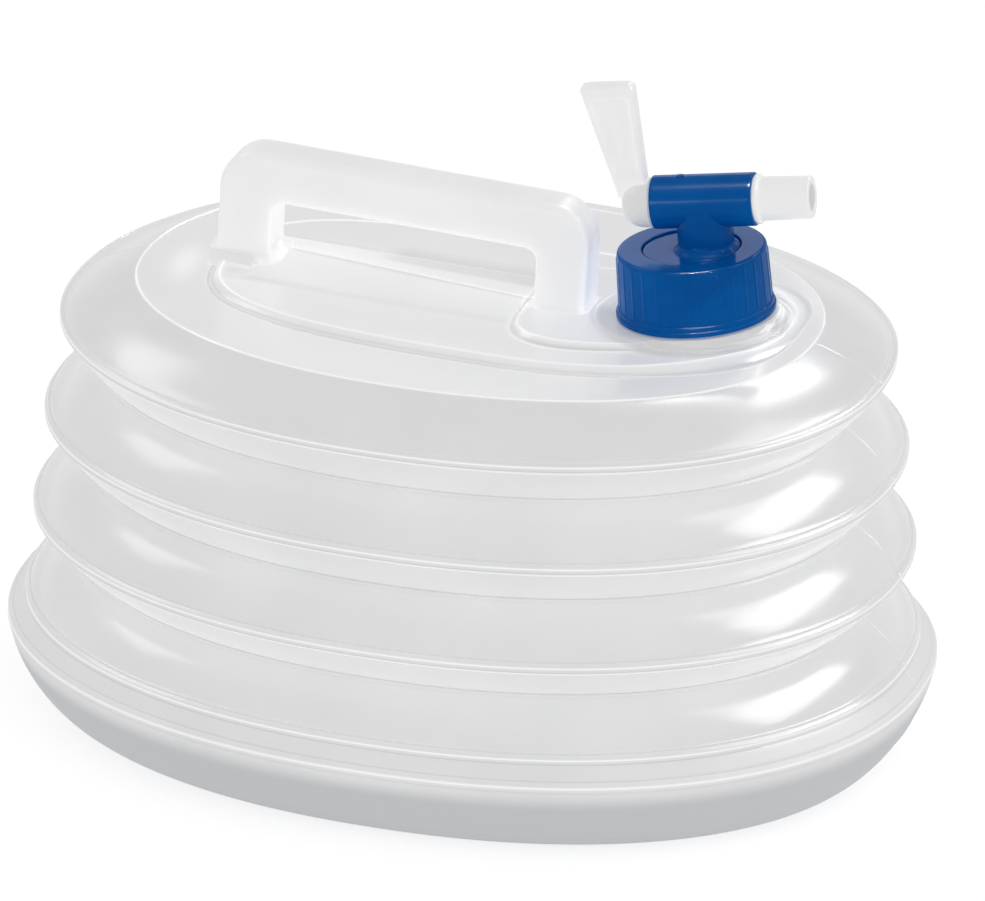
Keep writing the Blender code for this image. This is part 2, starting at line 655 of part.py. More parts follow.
def build_plug(frame):
    """The rotary plug: drive stub, core with two seal grooves, snap bead and spout, bored from the spout end."""
    groove = SEAL_THICKNESS / 2 + SEAT_GAP
    groove_radius = SEAL_CENTRE_RADIUS - SEAL_THICKNESS / 2 - SEAT_GAP
    front, rear = seal_places()
    bead = BARREL_FRONT + SEAT_GAP
    spout_end = BARREL_FRONT + SPOUT_LENGTH
    profile = [
        (DRIVE_RADIUS, -BARREL_REAR - SEAT_GAP - DRIVE_LENGTH),
        (DRIVE_RADIUS, -BARREL_REAR),
        (PLUG_RADIUS, -BARREL_REAR),
        (PLUG_RADIUS, rear - groove),
        (groove_radius, rear - groove),
        (groove_radius, rear + groove),
        (PLUG_RADIUS, rear + groove),
        (PLUG_RADIUS, front - groove),
        (groove_radius, front - groove),
        (groove_radius, front + groove),
        (PLUG_RADIUS, front + groove),
        (PLUG_RADIUS, bead),
        (PLUG_BEAD_RADIUS, bead),
        (PLUG_BEAD_RADIUS, bead + PLUG_BEAD_WIDTH / 2),
        (SPOUT_RADIUS, bead + PLUG_BEAD_WIDTH),
        (SPOUT_RADIUS, spout_end - SPOUT_RIM_BEVEL),
        (SPOUT_RADIUS - SPOUT_RIM_BEVEL, spout_end),
        (SPOUT_BORE_RADIUS, spout_end),
        (SPOUT_BORE_RADIUS, -BARREL_REAR + PLUG_END_WALL),
    ]
    plug = add_object("tap_plug", lying(turned("tap_plug", profile)), TAP_WHITE, frame)
    port = turned("cutter_port", [(PORT_RADIUS, 0), (PORT_RADIUS, PLUG_RADIUS + CUT_OVERRUN)])
    port.transform(Matrix.Rotation(math.pi / 2, 4, "X"))
    combine(plug, add_object("cutter_port", port, frame=frame), "DIFFERENCE")
    for name, place in (("plug_seal_front", front), ("plug_seal_rear", rear)):
        section = []
        for k in range(SEAL_SIDES):
            angle = math.tau * k / SEAL_SIDES
            radius = SEAL_CENTRE_RADIUS + SEAL_THICKNESS / 2 * math.cos(angle)
            section.append((radius, SEAL_THICKNESS / 2 * math.sin(angle)))
        seal = add_object(name, lying(turned(name, section, looped=True)), SEAL_BLACK, frame)
        seal.location.x = place


def build_lever(frame):
    """The lever: a domed hub that closes over the plug's drive stub, and a paddle that widens and leans back."""
    face = -BARREL_REAR - SEAT_GAP
    hub_end = face - HUB_LENGTH
    hub = []
    for k in range(HUB_DOME_STEPS + 1):
        angle = math.pi / 2 * k / HUB_DOME_STEPS
        radius = HUB_RADIUS - HUB_DOME * (1 - math.sin(angle))
        hub.append((radius, hub_end + HUB_DOME * (1 - math.cos(angle))))
    hub.append((HUB_RADIUS, face))
    hub.append((DRIVE_RADIUS + SEAT_GAP, face))
    hub.append((DRIVE_RADIUS + SEAT_GAP, face - DRIVE_LENGTH - SEAT_GAP))
    lever = add_object("tap_lever", lying(turned("tap_lever", hub)), TAP_WHITE, frame)
    root = face - LEVER_SETBACK - LEVER_ROOT_WIDTH / 2
    start = DRIVE_RADIUS + SEAT_GAP + (HUB_RADIUS - DRIVE_RADIUS) / 2
    rim_start = LEVER_HEIGHT - LEVER_RIM_HEIGHT
    bank = (LEVER_RIM_THICKNESS - LEVER_THICKNESS) / 2

    def section(height, thickness, narrowed=0):
        share = (height - start) / (LEVER_HEIGHT - start)
        width = LEVER_ROOT_WIDTH + (LEVER_TOP_WIDTH - LEVER_ROOT_WIDTH) * share
        centre = root - LEVER_LEAN * share
        return rounded_rectangle(centre, width - narrowed, thickness, height, LEVER_EDGE_RADIUS)

    rings = [
        section(start, LEVER_RIM_THICKNESS),
        section(HUB_RADIUS, LEVER_RIM_THICKNESS),
        section(HUB_RADIUS + LEVER_RIM_HEIGHT, LEVER_THICKNESS),
        section(rim_start - bank, LEVER_THICKNESS),
        section(rim_start, LEVER_RIM_THICKNESS),
        section(LEVER_HEIGHT - LEVER_TOP_ROUND, LEVER_RIM_THICKNESS),
        section(LEVER_HEIGHT, LEVER_RIM_THICKNESS - LEVER_TOP_ROUND, LEVER_TOP_ROUND),
    ]
    paddle = add_object("tool_paddle", skin("tool_paddle", rings), frame=frame)
    combine(lever, paddle, "UNION")


def build():
    clear_scene()
    build_base()
    build_bellows()
    build_shoulder()
    build_deck()
    build_handle()
    location, turn, _ = neck_matrix().decompose()
    neck_frame = add_frame("neck_frame", location, turn.to_euler())
    build_neck(neck_frame)
    build_cap(neck_frame)
    tap_frame = add_frame("tap_frame", (0, 0, 0), (0, 0, TAP_SWIVEL), neck_frame)
    barrel_frame = add_frame("barrel_frame", (STEM_OFFSET, 0, BARREL_HEIGHT), (0, -BARREL_RISE, 0), tap_frame)
    build_tap_body(tap_frame, barrel_frame)
    build_plug(barrel_frame)
    build_lever(barrel_frame)


build()
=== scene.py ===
# Looks of the collapsible water carrier: frosted bellows tank, milky handle, blue cap and tap, white lever.
# Sizes in the dictionaries are millimetres unless a note says otherwise; mm turns them into metres.
import json
from math import atan2, cos, hypot, pi, radians, sin, tau

import bmesh
import bpy
import numpy as np
from mathutils import Matrix, Vector


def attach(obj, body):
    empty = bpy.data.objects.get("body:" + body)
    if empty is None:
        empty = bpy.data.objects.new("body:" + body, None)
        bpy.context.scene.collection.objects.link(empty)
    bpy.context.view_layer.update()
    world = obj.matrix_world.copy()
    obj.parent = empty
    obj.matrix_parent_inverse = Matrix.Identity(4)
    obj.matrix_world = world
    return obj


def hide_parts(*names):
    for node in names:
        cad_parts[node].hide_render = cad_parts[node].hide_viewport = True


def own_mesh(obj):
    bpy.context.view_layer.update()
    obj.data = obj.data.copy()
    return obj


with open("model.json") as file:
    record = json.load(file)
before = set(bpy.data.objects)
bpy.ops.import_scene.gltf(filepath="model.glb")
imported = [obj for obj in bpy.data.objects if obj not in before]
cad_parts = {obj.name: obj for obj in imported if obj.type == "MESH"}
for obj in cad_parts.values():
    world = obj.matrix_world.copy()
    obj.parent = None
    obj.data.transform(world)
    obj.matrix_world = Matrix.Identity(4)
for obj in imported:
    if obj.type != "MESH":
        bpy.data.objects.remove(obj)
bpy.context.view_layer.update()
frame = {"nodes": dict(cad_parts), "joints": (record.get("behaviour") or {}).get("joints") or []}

mm = 0.001
joints = {joint["name"]: joint for joint in frame["joints"]}
scene = bpy.context.scene
join = np.concatenate
sharpAngle = 40


# General mesh tools

def soften(points, cuts, steps=4):
    # every corner is replaced by a quadratic arc that starts and ends its cut distance away from it
    points = np.asarray(points, float)
    cuts = np.broadcast_to(cuts, len(points))
    rows = [points[:1]]
    share = np.linspace(0, 1, steps + 1)[:, None]
    for before, corner, after, cut in zip(points, points[1:], points[2:], cuts[1:-1]):
        if cut <= 0:
            rows.append(corner[None])
            continue
        back, ahead = before - corner, after - corner
        start = corner + back * min(0.5, cut / np.linalg.norm(back))
        end = corner + ahead * min(0.5, cut / np.linalg.norm(ahead))
        rows.append(start * (1 - share) ** 2 + corner * 2 * share * (1 - share) + end * share ** 2)
    rows.append(points[-1:])
    return join(rows)


def densify(points, step):
    # straight runs longer than the step are split evenly, corners stay
    rows = [points[:1]]
    for start, end in zip(points, points[1:]):
        count = max(1, int(np.ceil(np.linalg.norm(end - start) / step)))
        share = np.arange(1, count + 1)[:, None] / count
        rows.append(start + (end - start) * share)
    return join(rows)


def ease(value):
    # 3t^2 - 2t^3 with t held between 0 and 1
    t = np.clip(value, 0, 1)
    return t * t * (3 - 2 * t)


def fade(value, span):
    # a span is (start, length): 0 at its start and 1 at its other end, which a negative length puts below
    return ease((value - span[0]) / span[1])


def mix(first, second, share):
    # first where the share is 0 and second where it is 1
    return first * (1 - share) + second * share


def bump(value, width):
    # a rounded ridge of height 1 at value 0 that ends at the half width
    return ease(1 - np.abs(value) / width)


def makeMesh(name, grids):
    # each grid is (points, loopRows, tones); columns always loop, and open ends close with a fan
    # UV holds (share round the piece, tone): 0.5 is plain, 1 a painted highlight line and 0 a painted shade
    # line
    vertices, quads, fans, marks = [], [], [], []
    base = 0
    for points, loopRows, *tones in grids:
        rows, columns = points.shape[:2]
        tone = np.broadcast_to(tones[0] if tones else 0.5, (rows, columns))
        turn = np.broadcast_to(np.arange(columns) / columns, (rows, columns))
        marks.append(np.stack([turn, tone], -1).reshape(-1, 2))
        index = base + np.arange(rows * columns).reshape(rows, columns)
        lower = index if loopRows else index[:-1]
        upper = np.roll(index, -1, 0) if loopRows else index[1:]
        around = [lower, np.roll(lower, -1, 1), np.roll(upper, -1, 1), upper]
        quads.append(np.stack(around, -1).reshape(-1, 4))
        vertices.append(points.reshape(-1, 3))
        base += rows * columns
        if not loopRows:
            for ring, flip in ((index[0], True), (index[-1], False)):
                vertices.append(points.reshape(-1, 3)[ring - index[0, 0]].mean(0)[None])
                marks.append(np.array([[0.5, 0.5]]))
                fan = np.stack([ring, np.roll(ring, -1), np.full(columns, base)], -1)
                fans.append(fan[:, ::-1] if flip else fan)
                base += 1
    vertices = join(vertices)
    faces = join(quads).tolist() + [row for fan in fans for row in fan.tolist()]
    mesh = bpy.data.meshes.new(name)
    mesh.from_pydata(vertices.tolist(), [], faces)
    mesh.update()
    corners = np.empty(len(mesh.loops), int)
    mesh.loops.foreach_get("vertex_index", corners)
    mesh.uv_layers.new(name="tone").data.foreach_set("uv", join(marks)[corners].ravel())
    return mesh


def makePiece(name, grids, paint, body, replaces):
    mesh = makeMesh(name, grids)
    shape = bmesh.new()
    shape.from_mesh(mesh)
    bmesh.ops.recalc_face_normals(shape, faces=shape.faces)
    shape.to_mesh(mesh)
    shape.free()
    mesh.shade_smooth()
    mesh.set_sharp_from_angle(angle=radians(sharpAngle))
    piece = bpy.data.objects.new(name, mesh)
    scene.collection.objects.link(piece)
    mesh.materials.append(paint)
    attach(piece, body)
    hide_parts(*replaces)
    print("made", name, len(mesh.polygons), "faces")
    return piece


def turnedGrid(profile, count, lying=False):
    # each profile point (radius, height) goes round the axis: Z, or X where the piece lies
    profile = np.asarray(profile, float)
    angle = np.arange(count) * tau / count
    radius, height = profile[:, :1], np.broadcast_to(profile[:, 1:], (len(profile), count))
    across = [radius * np.cos(angle), radius * np.sin(angle)]
    return np.stack([height, *across] if lying else [*across, height], -1)


def placed(grid, matrix):
    turn = np.array(matrix)
    return (grid * mm) @ turn[:3, :3].T + turn[:3, 3]


def axisFrame(origin, forward, up):
    # forward is X, up is made square to it and is Z
    forward = Vector(forward).normalized()
    side = Vector(up).cross(forward).normalized()
    turn = Matrix((forward, side, forward.cross(side))).transposed().to_4x4()
    return Matrix.Translation(Vector(origin)) @ turn


neckUp = Vector(joints["cap_turn"]["axis"])
neckFrame = axisFrame(joints["cap_turn"]["pos_m"], Vector((0, 1, 0)).cross(neckUp), neckUp)
barrelFrame = axisFrame(joints["tap_lever_turn"]["pos_m"], joints["tap_lever_turn"]["axis"], neckUp)
tapFrame = axisFrame(joints["cap_turn"]["pos_m"], barrelFrame.to_3x3().col[1].cross(neckUp), neckUp)


# Shader tools

class Wire:
    # one shader socket; sums, products and powers on it add Math nodes
    def __init__(self, tree, socket):
        self.tree = tree
        self.socket = socket

    def maths(self, operation, first, second):
        return addNode(self.tree, "Math", {"operation": operation}, {0: first, 1: second})

    def __add__(self, other):
        return self.maths("ADD", self, other)

    def __radd__(self, other):
        return self.maths("ADD", other, self)

    def __sub__(self, other):
        return self.maths("SUBTRACT", self, other)

    def __rsub__(self, other):
        return self.maths("SUBTRACT", other, self)

    def __mul__(self, other):
        return self.maths("MULTIPLY", self, other)

    def __rmul__(self, other):
        return self.maths("MULTIPLY", other, self)


def addNode(tree, kind, settings=None, values=None, output=0):
    # settings come first, then each socket gets its value or its link
    node = tree.nodes.new("ShaderNode" + kind)
    for name, value in (settings or {}).items():
        setattr(node, name, value)
    for name, value in (values or {}).items():
        if isinstance(value, Wire):
            tree.links.new(value.socket, node.inputs[name])
        else:
            node.inputs[name].default_value = value
    return Wire(tree, node.outputs[output])


def mixColour(tree, factor, first, second):
    return addNode(tree, "Mix", {"data_type": "RGBA"}, {0: factor, 6: first, 7: second}, 2)


def mapRange(tree, value, spans, kind="LINEAR"):
    # spans are (from low, from high, to low, to high), held between the last two
    return addNode(tree, "MapRange", {"interpolation_type": kind}, dict(enumerate((value, *spans))))


def grey(level):
    return level, level, level, 1


def newPaint(name, look, fixed):
    # one moulded finish: colour and roughness drift in soft clouds and a fine grain bumps it
    # with a glow, which is painted light standing in for light through the thin walls, the tone UV mixes in
    # painted highlight and painted shade lines, and a look may add painted shade and turn matt low down
    paint = bpy.data.materials.new(name)
    paint.use_nodes = True
    tree = paint.node_tree
    shader = tree.nodes["Principled BSDF"]
    for socket, value in fixed.items():
        shader.inputs[socket].default_value = value
    place = addNode(tree, "TexCoord", output=3)
    cloud, fine = [addNode(tree, "TexNoise", None, {"Vector": place, "Scale": look[size], "Detail": detail})
                   for size, detail in (("cloudScale", 4.0), ("grainScale", 3.0))]
    spread = mapRange(tree, cloud, (0.35, 0.65, 0.0, 1.0))
    colour = mixColour(tree, spread, (*look["dark"], 1), (*look["light"], 1))
    # the glow is painted light: an emission that stands in for light passing through the thin walls
    if "glow" in look:
        glow = grey(look["glow"])
        # painted shade low down: colour and glow turn darker towards the bottom of the piece
        if "low" in look:
            split = addNode(tree, "SeparateXYZ", None, {0: place}, 2)
            share = mapRange(tree, split, (look["lowShadeFrom"], look["lowShadeTo"], 0.0, 1.0), "SMOOTHSTEP")
            colour = mixColour(tree, share, colour, (*look["low"], 1))
            glow = mixColour(tree, share, glow, grey(look["glowLow"]))
        # the tone UV mixes in painted highlight lines above 0.5 and painted shade lines below it
        tone = addNode(tree, "SeparateXYZ", None, {0: addNode(tree, "TexCoord", output=2)}, 1)
        for end, tint, shine in ((1.0, "highlightLine", "glowBright"), (0.0, "shadeLine", "glowDark")):
            part = mapRange(tree, tone, (0.5, end, 0.0, 1.0))
            colour = mixColour(tree, part, colour, grey(look[tint]))
            glow = mixColour(tree, part, glow, grey(look[shine]))
        tree.links.new(glow.socket, shader.inputs["Emission Color"])
        shader.inputs["Emission Strength"].default_value = 1.0
    drift, grain = look["roughnessDrift"], look["roughnessGrain"]
    roughness = look["roughness"] + (cloud - 0.5) * drift + (fine - 0.5) * grain
    if "low" in look:
        matte = (look["matteFrom"], look["matteTo"], 0.0, look["matteGain"])
        roughness = roughness + mapRange(tree, split, matte)
    height = fine * look["grainHeight"] + cloud * look["waveHeight"]
    normal = addNode(tree, "Bump", None, {"Strength": 1.0, "Distance": 1.0, "Height": height})
    tree.links.new(colour.socket, shader.inputs["Base Color"])
    tree.links.new(roughness.socket, shader.inputs["Roughness"])
    tree.links.new(normal.socket, shader.inputs["Normal"])
    print("mixed", name)
    return paint


# Finishes; colours are linear, heights are metres

# colour and glow of the painted highlight lines and the painted shade lines
paintedLightLevels = dict(highlightLine=0.95, glowBright=0.42, shadeLine=0.66, glowDark=0.13)
shellGrain = dict(roughnessDrift=0.08, roughnessGrain=0.06, grainHeight=0.00001)
tapGrain = dict(roughnessDrift=0.06, roughnessGrain=0.05, grainHeight=0.000008, grainScale=1800.0)
rubberGrain = dict(roughnessGrain=0.1, grainHeight=0.00001, waveHeight=0.0)
# glow in these looks is painted light that stands in for light passing through the thin walls
frostedLook = dict(dark=(0.81, 0.813, 0.82), light=(0.85, 0.852, 0.855), roughness=0.18, cloudScale=26.0,
                   # the low colour and its glow are painted shade on the base's down-facing lower wall
                   grainScale=900.0, waveHeight=0.00025, low=(0.60, 0.61, 0.63), lowShadeFrom=0.0292, lowShadeTo=0.021,
                   glow=0.19, glowLow=0.125, matteFrom=0.0372, matteTo=0.0358, matteGain=0.34,
                   **shellGrain, **paintedLightLevels)
milkyLook = dict(dark=(0.885, 0.885, 0.89), light=(0.925, 0.925, 0.93), roughness=0.30, cloudScale=40.0,
                 grainScale=1100.0, waveHeight=0.00012, glow=0.235, **shellGrain, **paintedLightLevels)
blueLook = dict(dark=(0.0004, 0.100, 0.395), light=(0.0009, 0.124, 0.465), roughness=0.16, cloudScale=60.0,
                waveHeight=0.00003, **tapGrain)
whiteLook = dict(dark=(0.88, 0.88, 0.885), light=(0.92, 0.92, 0.925), roughness=0.33, cloudScale=70.0,
                 waveHeight=0.00004, glow=0.245, **tapGrain, **paintedLightLevels)
gasketLook = dict(dark=(0.62, 0.63, 0.64), light=(0.70, 0.71, 0.72), roughness=0.6, roughnessDrift=0.08,
                  cloudScale=120.0, grainScale=2500.0, **rubberGrain)
sealLook = dict(dark=(0.022, 0.022, 0.024), light=(0.034, 0.034, 0.036), roughness=0.62, roughnessDrift=0.1,
                cloudScale=200.0, grainScale=3000.0, **rubberGrain)


def softInside(weight, scale):
    return {"Subsurface Weight": weight, "Subsurface Scale": scale, "Subsurface Radius": (1.0, 1.0, 1.0)}


blueGloss = {"Specular IOR Level": 0.045, "Coat Weight": 0.01, "Coat Roughness": 0.08}
frostedPaint = newPaint("frosted_polyethylene", frostedLook, softInside(0.25, 0.0012))
milkyPaint = newPaint("milky_polyethylene", milkyLook, softInside(0.9, 0.006))
bluePaint = newPaint("blue_moulding", blueLook, blueGloss)
whitePaint = newPaint("white_moulding", whiteLook, softInside(0.25, 0.002))
gasketPaint = newPaint("gasket_rubber", gasketLook, {})
sealPaint = newPaint("seal_rubber", sealLook, {})


# The tank's ovals

tank = dict(
    columns=400, power=2.16, widthShare=0.806, seamPlaces=(0.25, 0.5, 1.0), seamHeight=0.22, seamHalf=0.6,
    crestHalfLengths=(140.6, 145.5, 149.1, 151.6), crestHeights=(138.8, 104.53, 70.56, 38.6),
)


def tankAngles():
    # even steps round the oval, with a few more close to both ends of its long axis for the mould seam
    even = np.arange(tank["columns"]) * tau / tank["columns"]
    halfWidth = tank["crestHalfLengths"][1] * tank["widthShare"]
    close = (np.array(tank["seamPlaces"]) / halfWidth) ** (tank["power"] / 2)
    extra = join([centre + side * close for centre in (0, pi) for side in (-1, 1)])
    return np.sort(join([even, extra % tau]))


angles = tankAngles()


def ovalUnit(power):
    # (sgn(cos t)|cos t|^(2/p), sgn(sin t)|sin t|^(2/p)) for every angle
    waves = (np.cos(angles), np.sin(angles))
    return np.stack([np.sign(wave) * np.abs(wave) ** (2 / power) for wave in waves], -1)


def ovalRows(sizes):
    # each (half length, half width, height) is a ring; a low ridge down both ends is the mould seam
    sizes = np.asarray(sizes, float)
    u, v = ovalUnit(tank["power"]).T
    ring = np.stack([sizes[:, :1] * u, sizes[:, 1:2] * v, sizes[:, 2:] + 0 * u], -1)
    ring[..., 0] += np.sign(ring[..., 0]) * bump(ring[..., 1], tank["seamHalf"]) * tank["seamHeight"]
    return ring


def crest(index, up=0.0):
    half = tank["crestHalfLengths"][index]
    return np.array([half, half * tank["widthShare"], tank["crestHeights"][index] + up])


def along(start, end):
    # unit run from start to end as (outward, upward), and the outward normal of a wall that runs so
    run = np.array([end[0] - start[0], end[2] - start[2]])
    run /= np.linalg.norm(run)
    return run, np.array([-run[1], run[0]])


def shifted(point, run, distance):
    return point + np.array([run[0], run[0], run[1]]) * distance


# Bellows: six panels and two free crests as one skin

# marks are painted highlight lines (positive strength) and painted shade lines (negative), as (half width,
# strength)
fold = dict(depth=16.0, lipHeight=1.6, lipRound=0.14, grooveAt=2.1, grooveDepth=0.3, grooveHalf=0.35,
            underAt=0.9, beadAt=1.0, beadHeight=0.3, beadHalf=0.6, beadRows=(0.5, 0.8, 1.0, 1.2, 1.6),
            topBulge=1.7, lowBulge=0.5, bulgePower=0.8, panelRows=18, wall=1.4, innerRows=40,
            marks=dict(top=(0.5, 0.38), low=(0.45, -0.32), groove=(0.6, -0.18), grooveEdge=(0.4, 0.15),
                       bead=(0.6, 0.35), hinge=(0.5, -0.3), under=(0.5, 0.27)))


def valley(index):
    return (crest(index) + crest(index + 1)) / 2 - np.array([fold["depth"], fold["depth"], 0])


def panelRows(start, end, bulge):
    # straight from start to end, pushed out square to it by bulge * sin(pi t)^p; an upper wall has a bead
    normal = along(start, end)[1]
    length = hypot(end[0] - start[0], end[2] - start[2])
    isUpper = end[2] < start[2] and end[0] > start[0]
    share = np.linspace(0, 1, fold["panelRows"])
    if isUpper:
        share = np.sort(join([share, np.array(fold["beadRows"]) / length]))
    share = share[:, None]
    swell = bulge * np.sin(pi * share) ** fold["bulgePower"]
    if isUpper:
        swell = swell + fold["beadHeight"] * bump(share * length - fold["beadAt"], fold["beadHalf"])
    return shifted(start + (end - start) * share, normal, swell)


def lipSide(point, inner, up, places):
    # points at (distance from the lip, height over the wall) on a wall from the lip to its inner end
    run, normal = along(point, inner)
    outward = normal * np.sign(normal[1]) * up
    return [shifted(shifted(point, run, away), outward, lift) for away, lift in places]


def crestProfile(index, fromAbove, toBelow):
    # a wall that comes down to the lip past a narrow groove and goes back in below it past another
    f = fold
    top, low = crest(index), crest(index, -f["lipHeight"])
    above, under, half, deep = f["grooveAt"], f["underAt"], f["grooveHalf"], -f["grooveDepth"]
    rows = [top, top - np.array([0, 0, 0.5]), low + np.array([0, 0, 0.45]), low]
    if fromAbove is not None:
        places = ((above + half + 0.5, 0), (above + half, 0.05), (above, deep), (above - half, 0.15))
        rows = lipSide(top, fromAbove, 1, (*places, (0.5, 0.2))) + rows
    if toBelow is not None:
        places = ((under - half, 0.1), (under, deep), (under + half, 0.1), (under + 1.2, 0))
        rows += lipSide(low, toBelow, -1, places)
    return soften(np.array(rows), f["lipRound"], 2)


def bellowsProfile():
    # outer wall from the first crest's underside down to the last crest's hinge
    rows = []
    start = crestProfile(0, None, valley(0))[-1]
    for index in range(3):
        dip = valley(index)
        isLast = index == 2
        nextLip = crestProfile(index + 1, dip, None if isLast else valley(index + 1))
        rows += [panelRows(start, dip, fold["lowBulge"])[:-1],
                 panelRows(dip, nextLip[0], fold["topBulge"])[:-1],
                 nextLip[:1] if isLast else nextLip]
        start = nextLip[-1]
    return join(rows)


def everyFew(rows, count):
    # about count of the rows, first and last among them
    return rows[np.unique(np.linspace(0, len(rows) - 1, count).astype(int))]


def insetRows(rows, wall):
    # the same profile moved inwards square to itself
    step = np.gradient(rows[:, [0, 2]], axis=0)
    step /= np.maximum(np.linalg.norm(step, axis=1, keepdims=True), 1e-9)
    return rows + np.stack([step[:, 1], step[:, 1], -step[:, 0]], -1) * wall


def lineTones(rows, index):
    # painted highlight peaks and painted shade dips at the lip's edges, at both its grooves and at the hinge
    # above it
    f = fold
    top, low = crest(index), crest(index, -f["lipHeight"])
    marks = [(crest(index, -0.15), "top"), (low, "low")]
    if index > 0:
        hinge = valley(index - 1)
        run = along(hinge, top)[0]
        marks += [(shifted(top, run, -f["grooveAt"]), "groove"),
                  (shifted(top, run, 0.7 - f["grooveAt"]), "grooveEdge"),
                  (shifted(hinge, run, f["beadAt"]), "bead"), (hinge, "hinge")]
    if index < 3:
        run = along(low, valley(index))[0]
        marks.append((shifted(low, run, f["underAt"] + 0.3), "under"))
    tone = np.zeros(len(rows))
    for point, name in marks:
        half, strength = f["marks"][name]
        tone += strength * bump(np.hypot(rows[:, 0] - point[0], rows[:, 2] - point[2]), half)
    return tone


def rowTones(rows, indices):
    return np.clip(0.5 + sum(lineTones(rows, index) for index in indices), 0, 1)[:, None]


outerFold = bellowsProfile()
innerFold = insetRows(everyFew(outerFold, fold["innerRows"]), fold["wall"])[::-1]
foldTone = join([rowTones(outerFold, (1, 2, 3)), innerFold[:, :1] * 0 + 0.5])
foldGrid = (ovalRows(join([outerFold, innerFold])) * mm, True, foldTone)
foldNodes = ["bellows_panel_%d" % k for k in range(1, 7)] + ["crest_ring_upper", "crest_ring_lower"]
bellows = makePiece("bellows_skin", [foldGrid], frostedPaint, "base", foldNodes)
foldTop, foldEnd = outerFold[0][2], outerFold[-1][2]
foldTravel = joints["bellows_collapse"]["range_m"][1] / mm
foldEnd * mm
float(1 - foldTravel / (foldTop - foldEnd))
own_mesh(bellows)


# Base tray with its lip, band, wall and floor

baseTray = dict(bandHalfLength=157.5, bandHeight=30.7, bandFlat=1.6, wallPower=1.5, wallRows=22,
                footHalfLength=137.3, footHalfWidth=102.6, footRound=1.6, rim=6.0, floorLift=0.9, wall=1.8,
                ledgeRows=((-3.0, 0.0), (-2.4, -0.25), (-1.8, 0.1)),
                bandShadeAndHighlight=((-0.1, 0.1, 0.7, 0.34), (-1.9, -1.5, 0.6, -0.3), (-0.2, 1.7, 0.6, -0.3)))


def arcRows(start, end, power, count):
    # leaves start upright and reaches end level, as a superellipse quarter
    turn = np.linspace(0, pi / 2, count)[:, None]
    inward, upward = 1 - np.cos(turn) ** (2 / power), np.sin(turn) ** (2 / power)
    return start + (end - start) * join([inward, inward, upward], 1)


def buildBase():
    b = baseTray
    lip = crestProfile(3, valley(2), None)
    half, high, wall = b["bandHalfLength"], b["bandHeight"], b["wall"]
    band = np.array([half, half * tank["widthShare"], high])
    bandLow = band - np.array([0, 0, b["bandFlat"]])
    run, normal = along(lip[-1], band)
    ledgeRows = [shifted(shifted(band, run, away), normal, lift) for away, lift in b["ledgeRows"]]
    upper = soften([lip[-1], *ledgeRows, band, bandLow], 0.35, 3)
    foot = np.array([b["footHalfLength"], b["footHalfWidth"], 0.0])
    side = arcRows(bandLow - np.array([0.3, 0.3, 0.0]), foot, b["wallPower"], b["wallRows"])
    sole = foot - np.array([b["rim"], b["rim"], 0])
    lift = sole + np.array([-1.5, -1.5, b["floorLift"]])
    lower = soften(join([side, [sole, lift]]), [0] * (b["wallRows"] - 1) + [b["footRound"], 0.5, 0], 3)
    outer = join([lip[:-1], densify(upper, 0.4), lower])
    shrink = np.linspace(0.92, 0.04, 12)[:, None]
    floor = lower[-1] * join([shrink, shrink, shrink * 0 + 1], 1)
    inner = insetRows(everyFew(outer, 30), wall)[::-1]
    innerFloor = floor[::-1] * (0.98, 0.98, 1) + (0, 0, wall)
    rows = join([innerFloor, inner, outer, floor])
    tone = rowTones(outer, (3,))
    # painted highlight at the band's top edge and painted shade lines in the groove above it and just under
    # it
    for out, down, width, strength in b["bandShadeAndHighlight"]:
        away = np.hypot(outer[:, :1] - half - out, outer[:, 2:] - high + down)
        tone = tone + strength * bump(away, width)
    plain = np.full((len(floor), 1), 0.5)
    tone = join([plain, inner[:, :1] * 0 + 0.5, tone, plain])
    return [(ovalRows(rows) * mm, False, np.clip(tone, 0, 1))]


makePiece("base_tray", buildBase(), frostedPaint, "base", ["base_wall", "base_floor"])
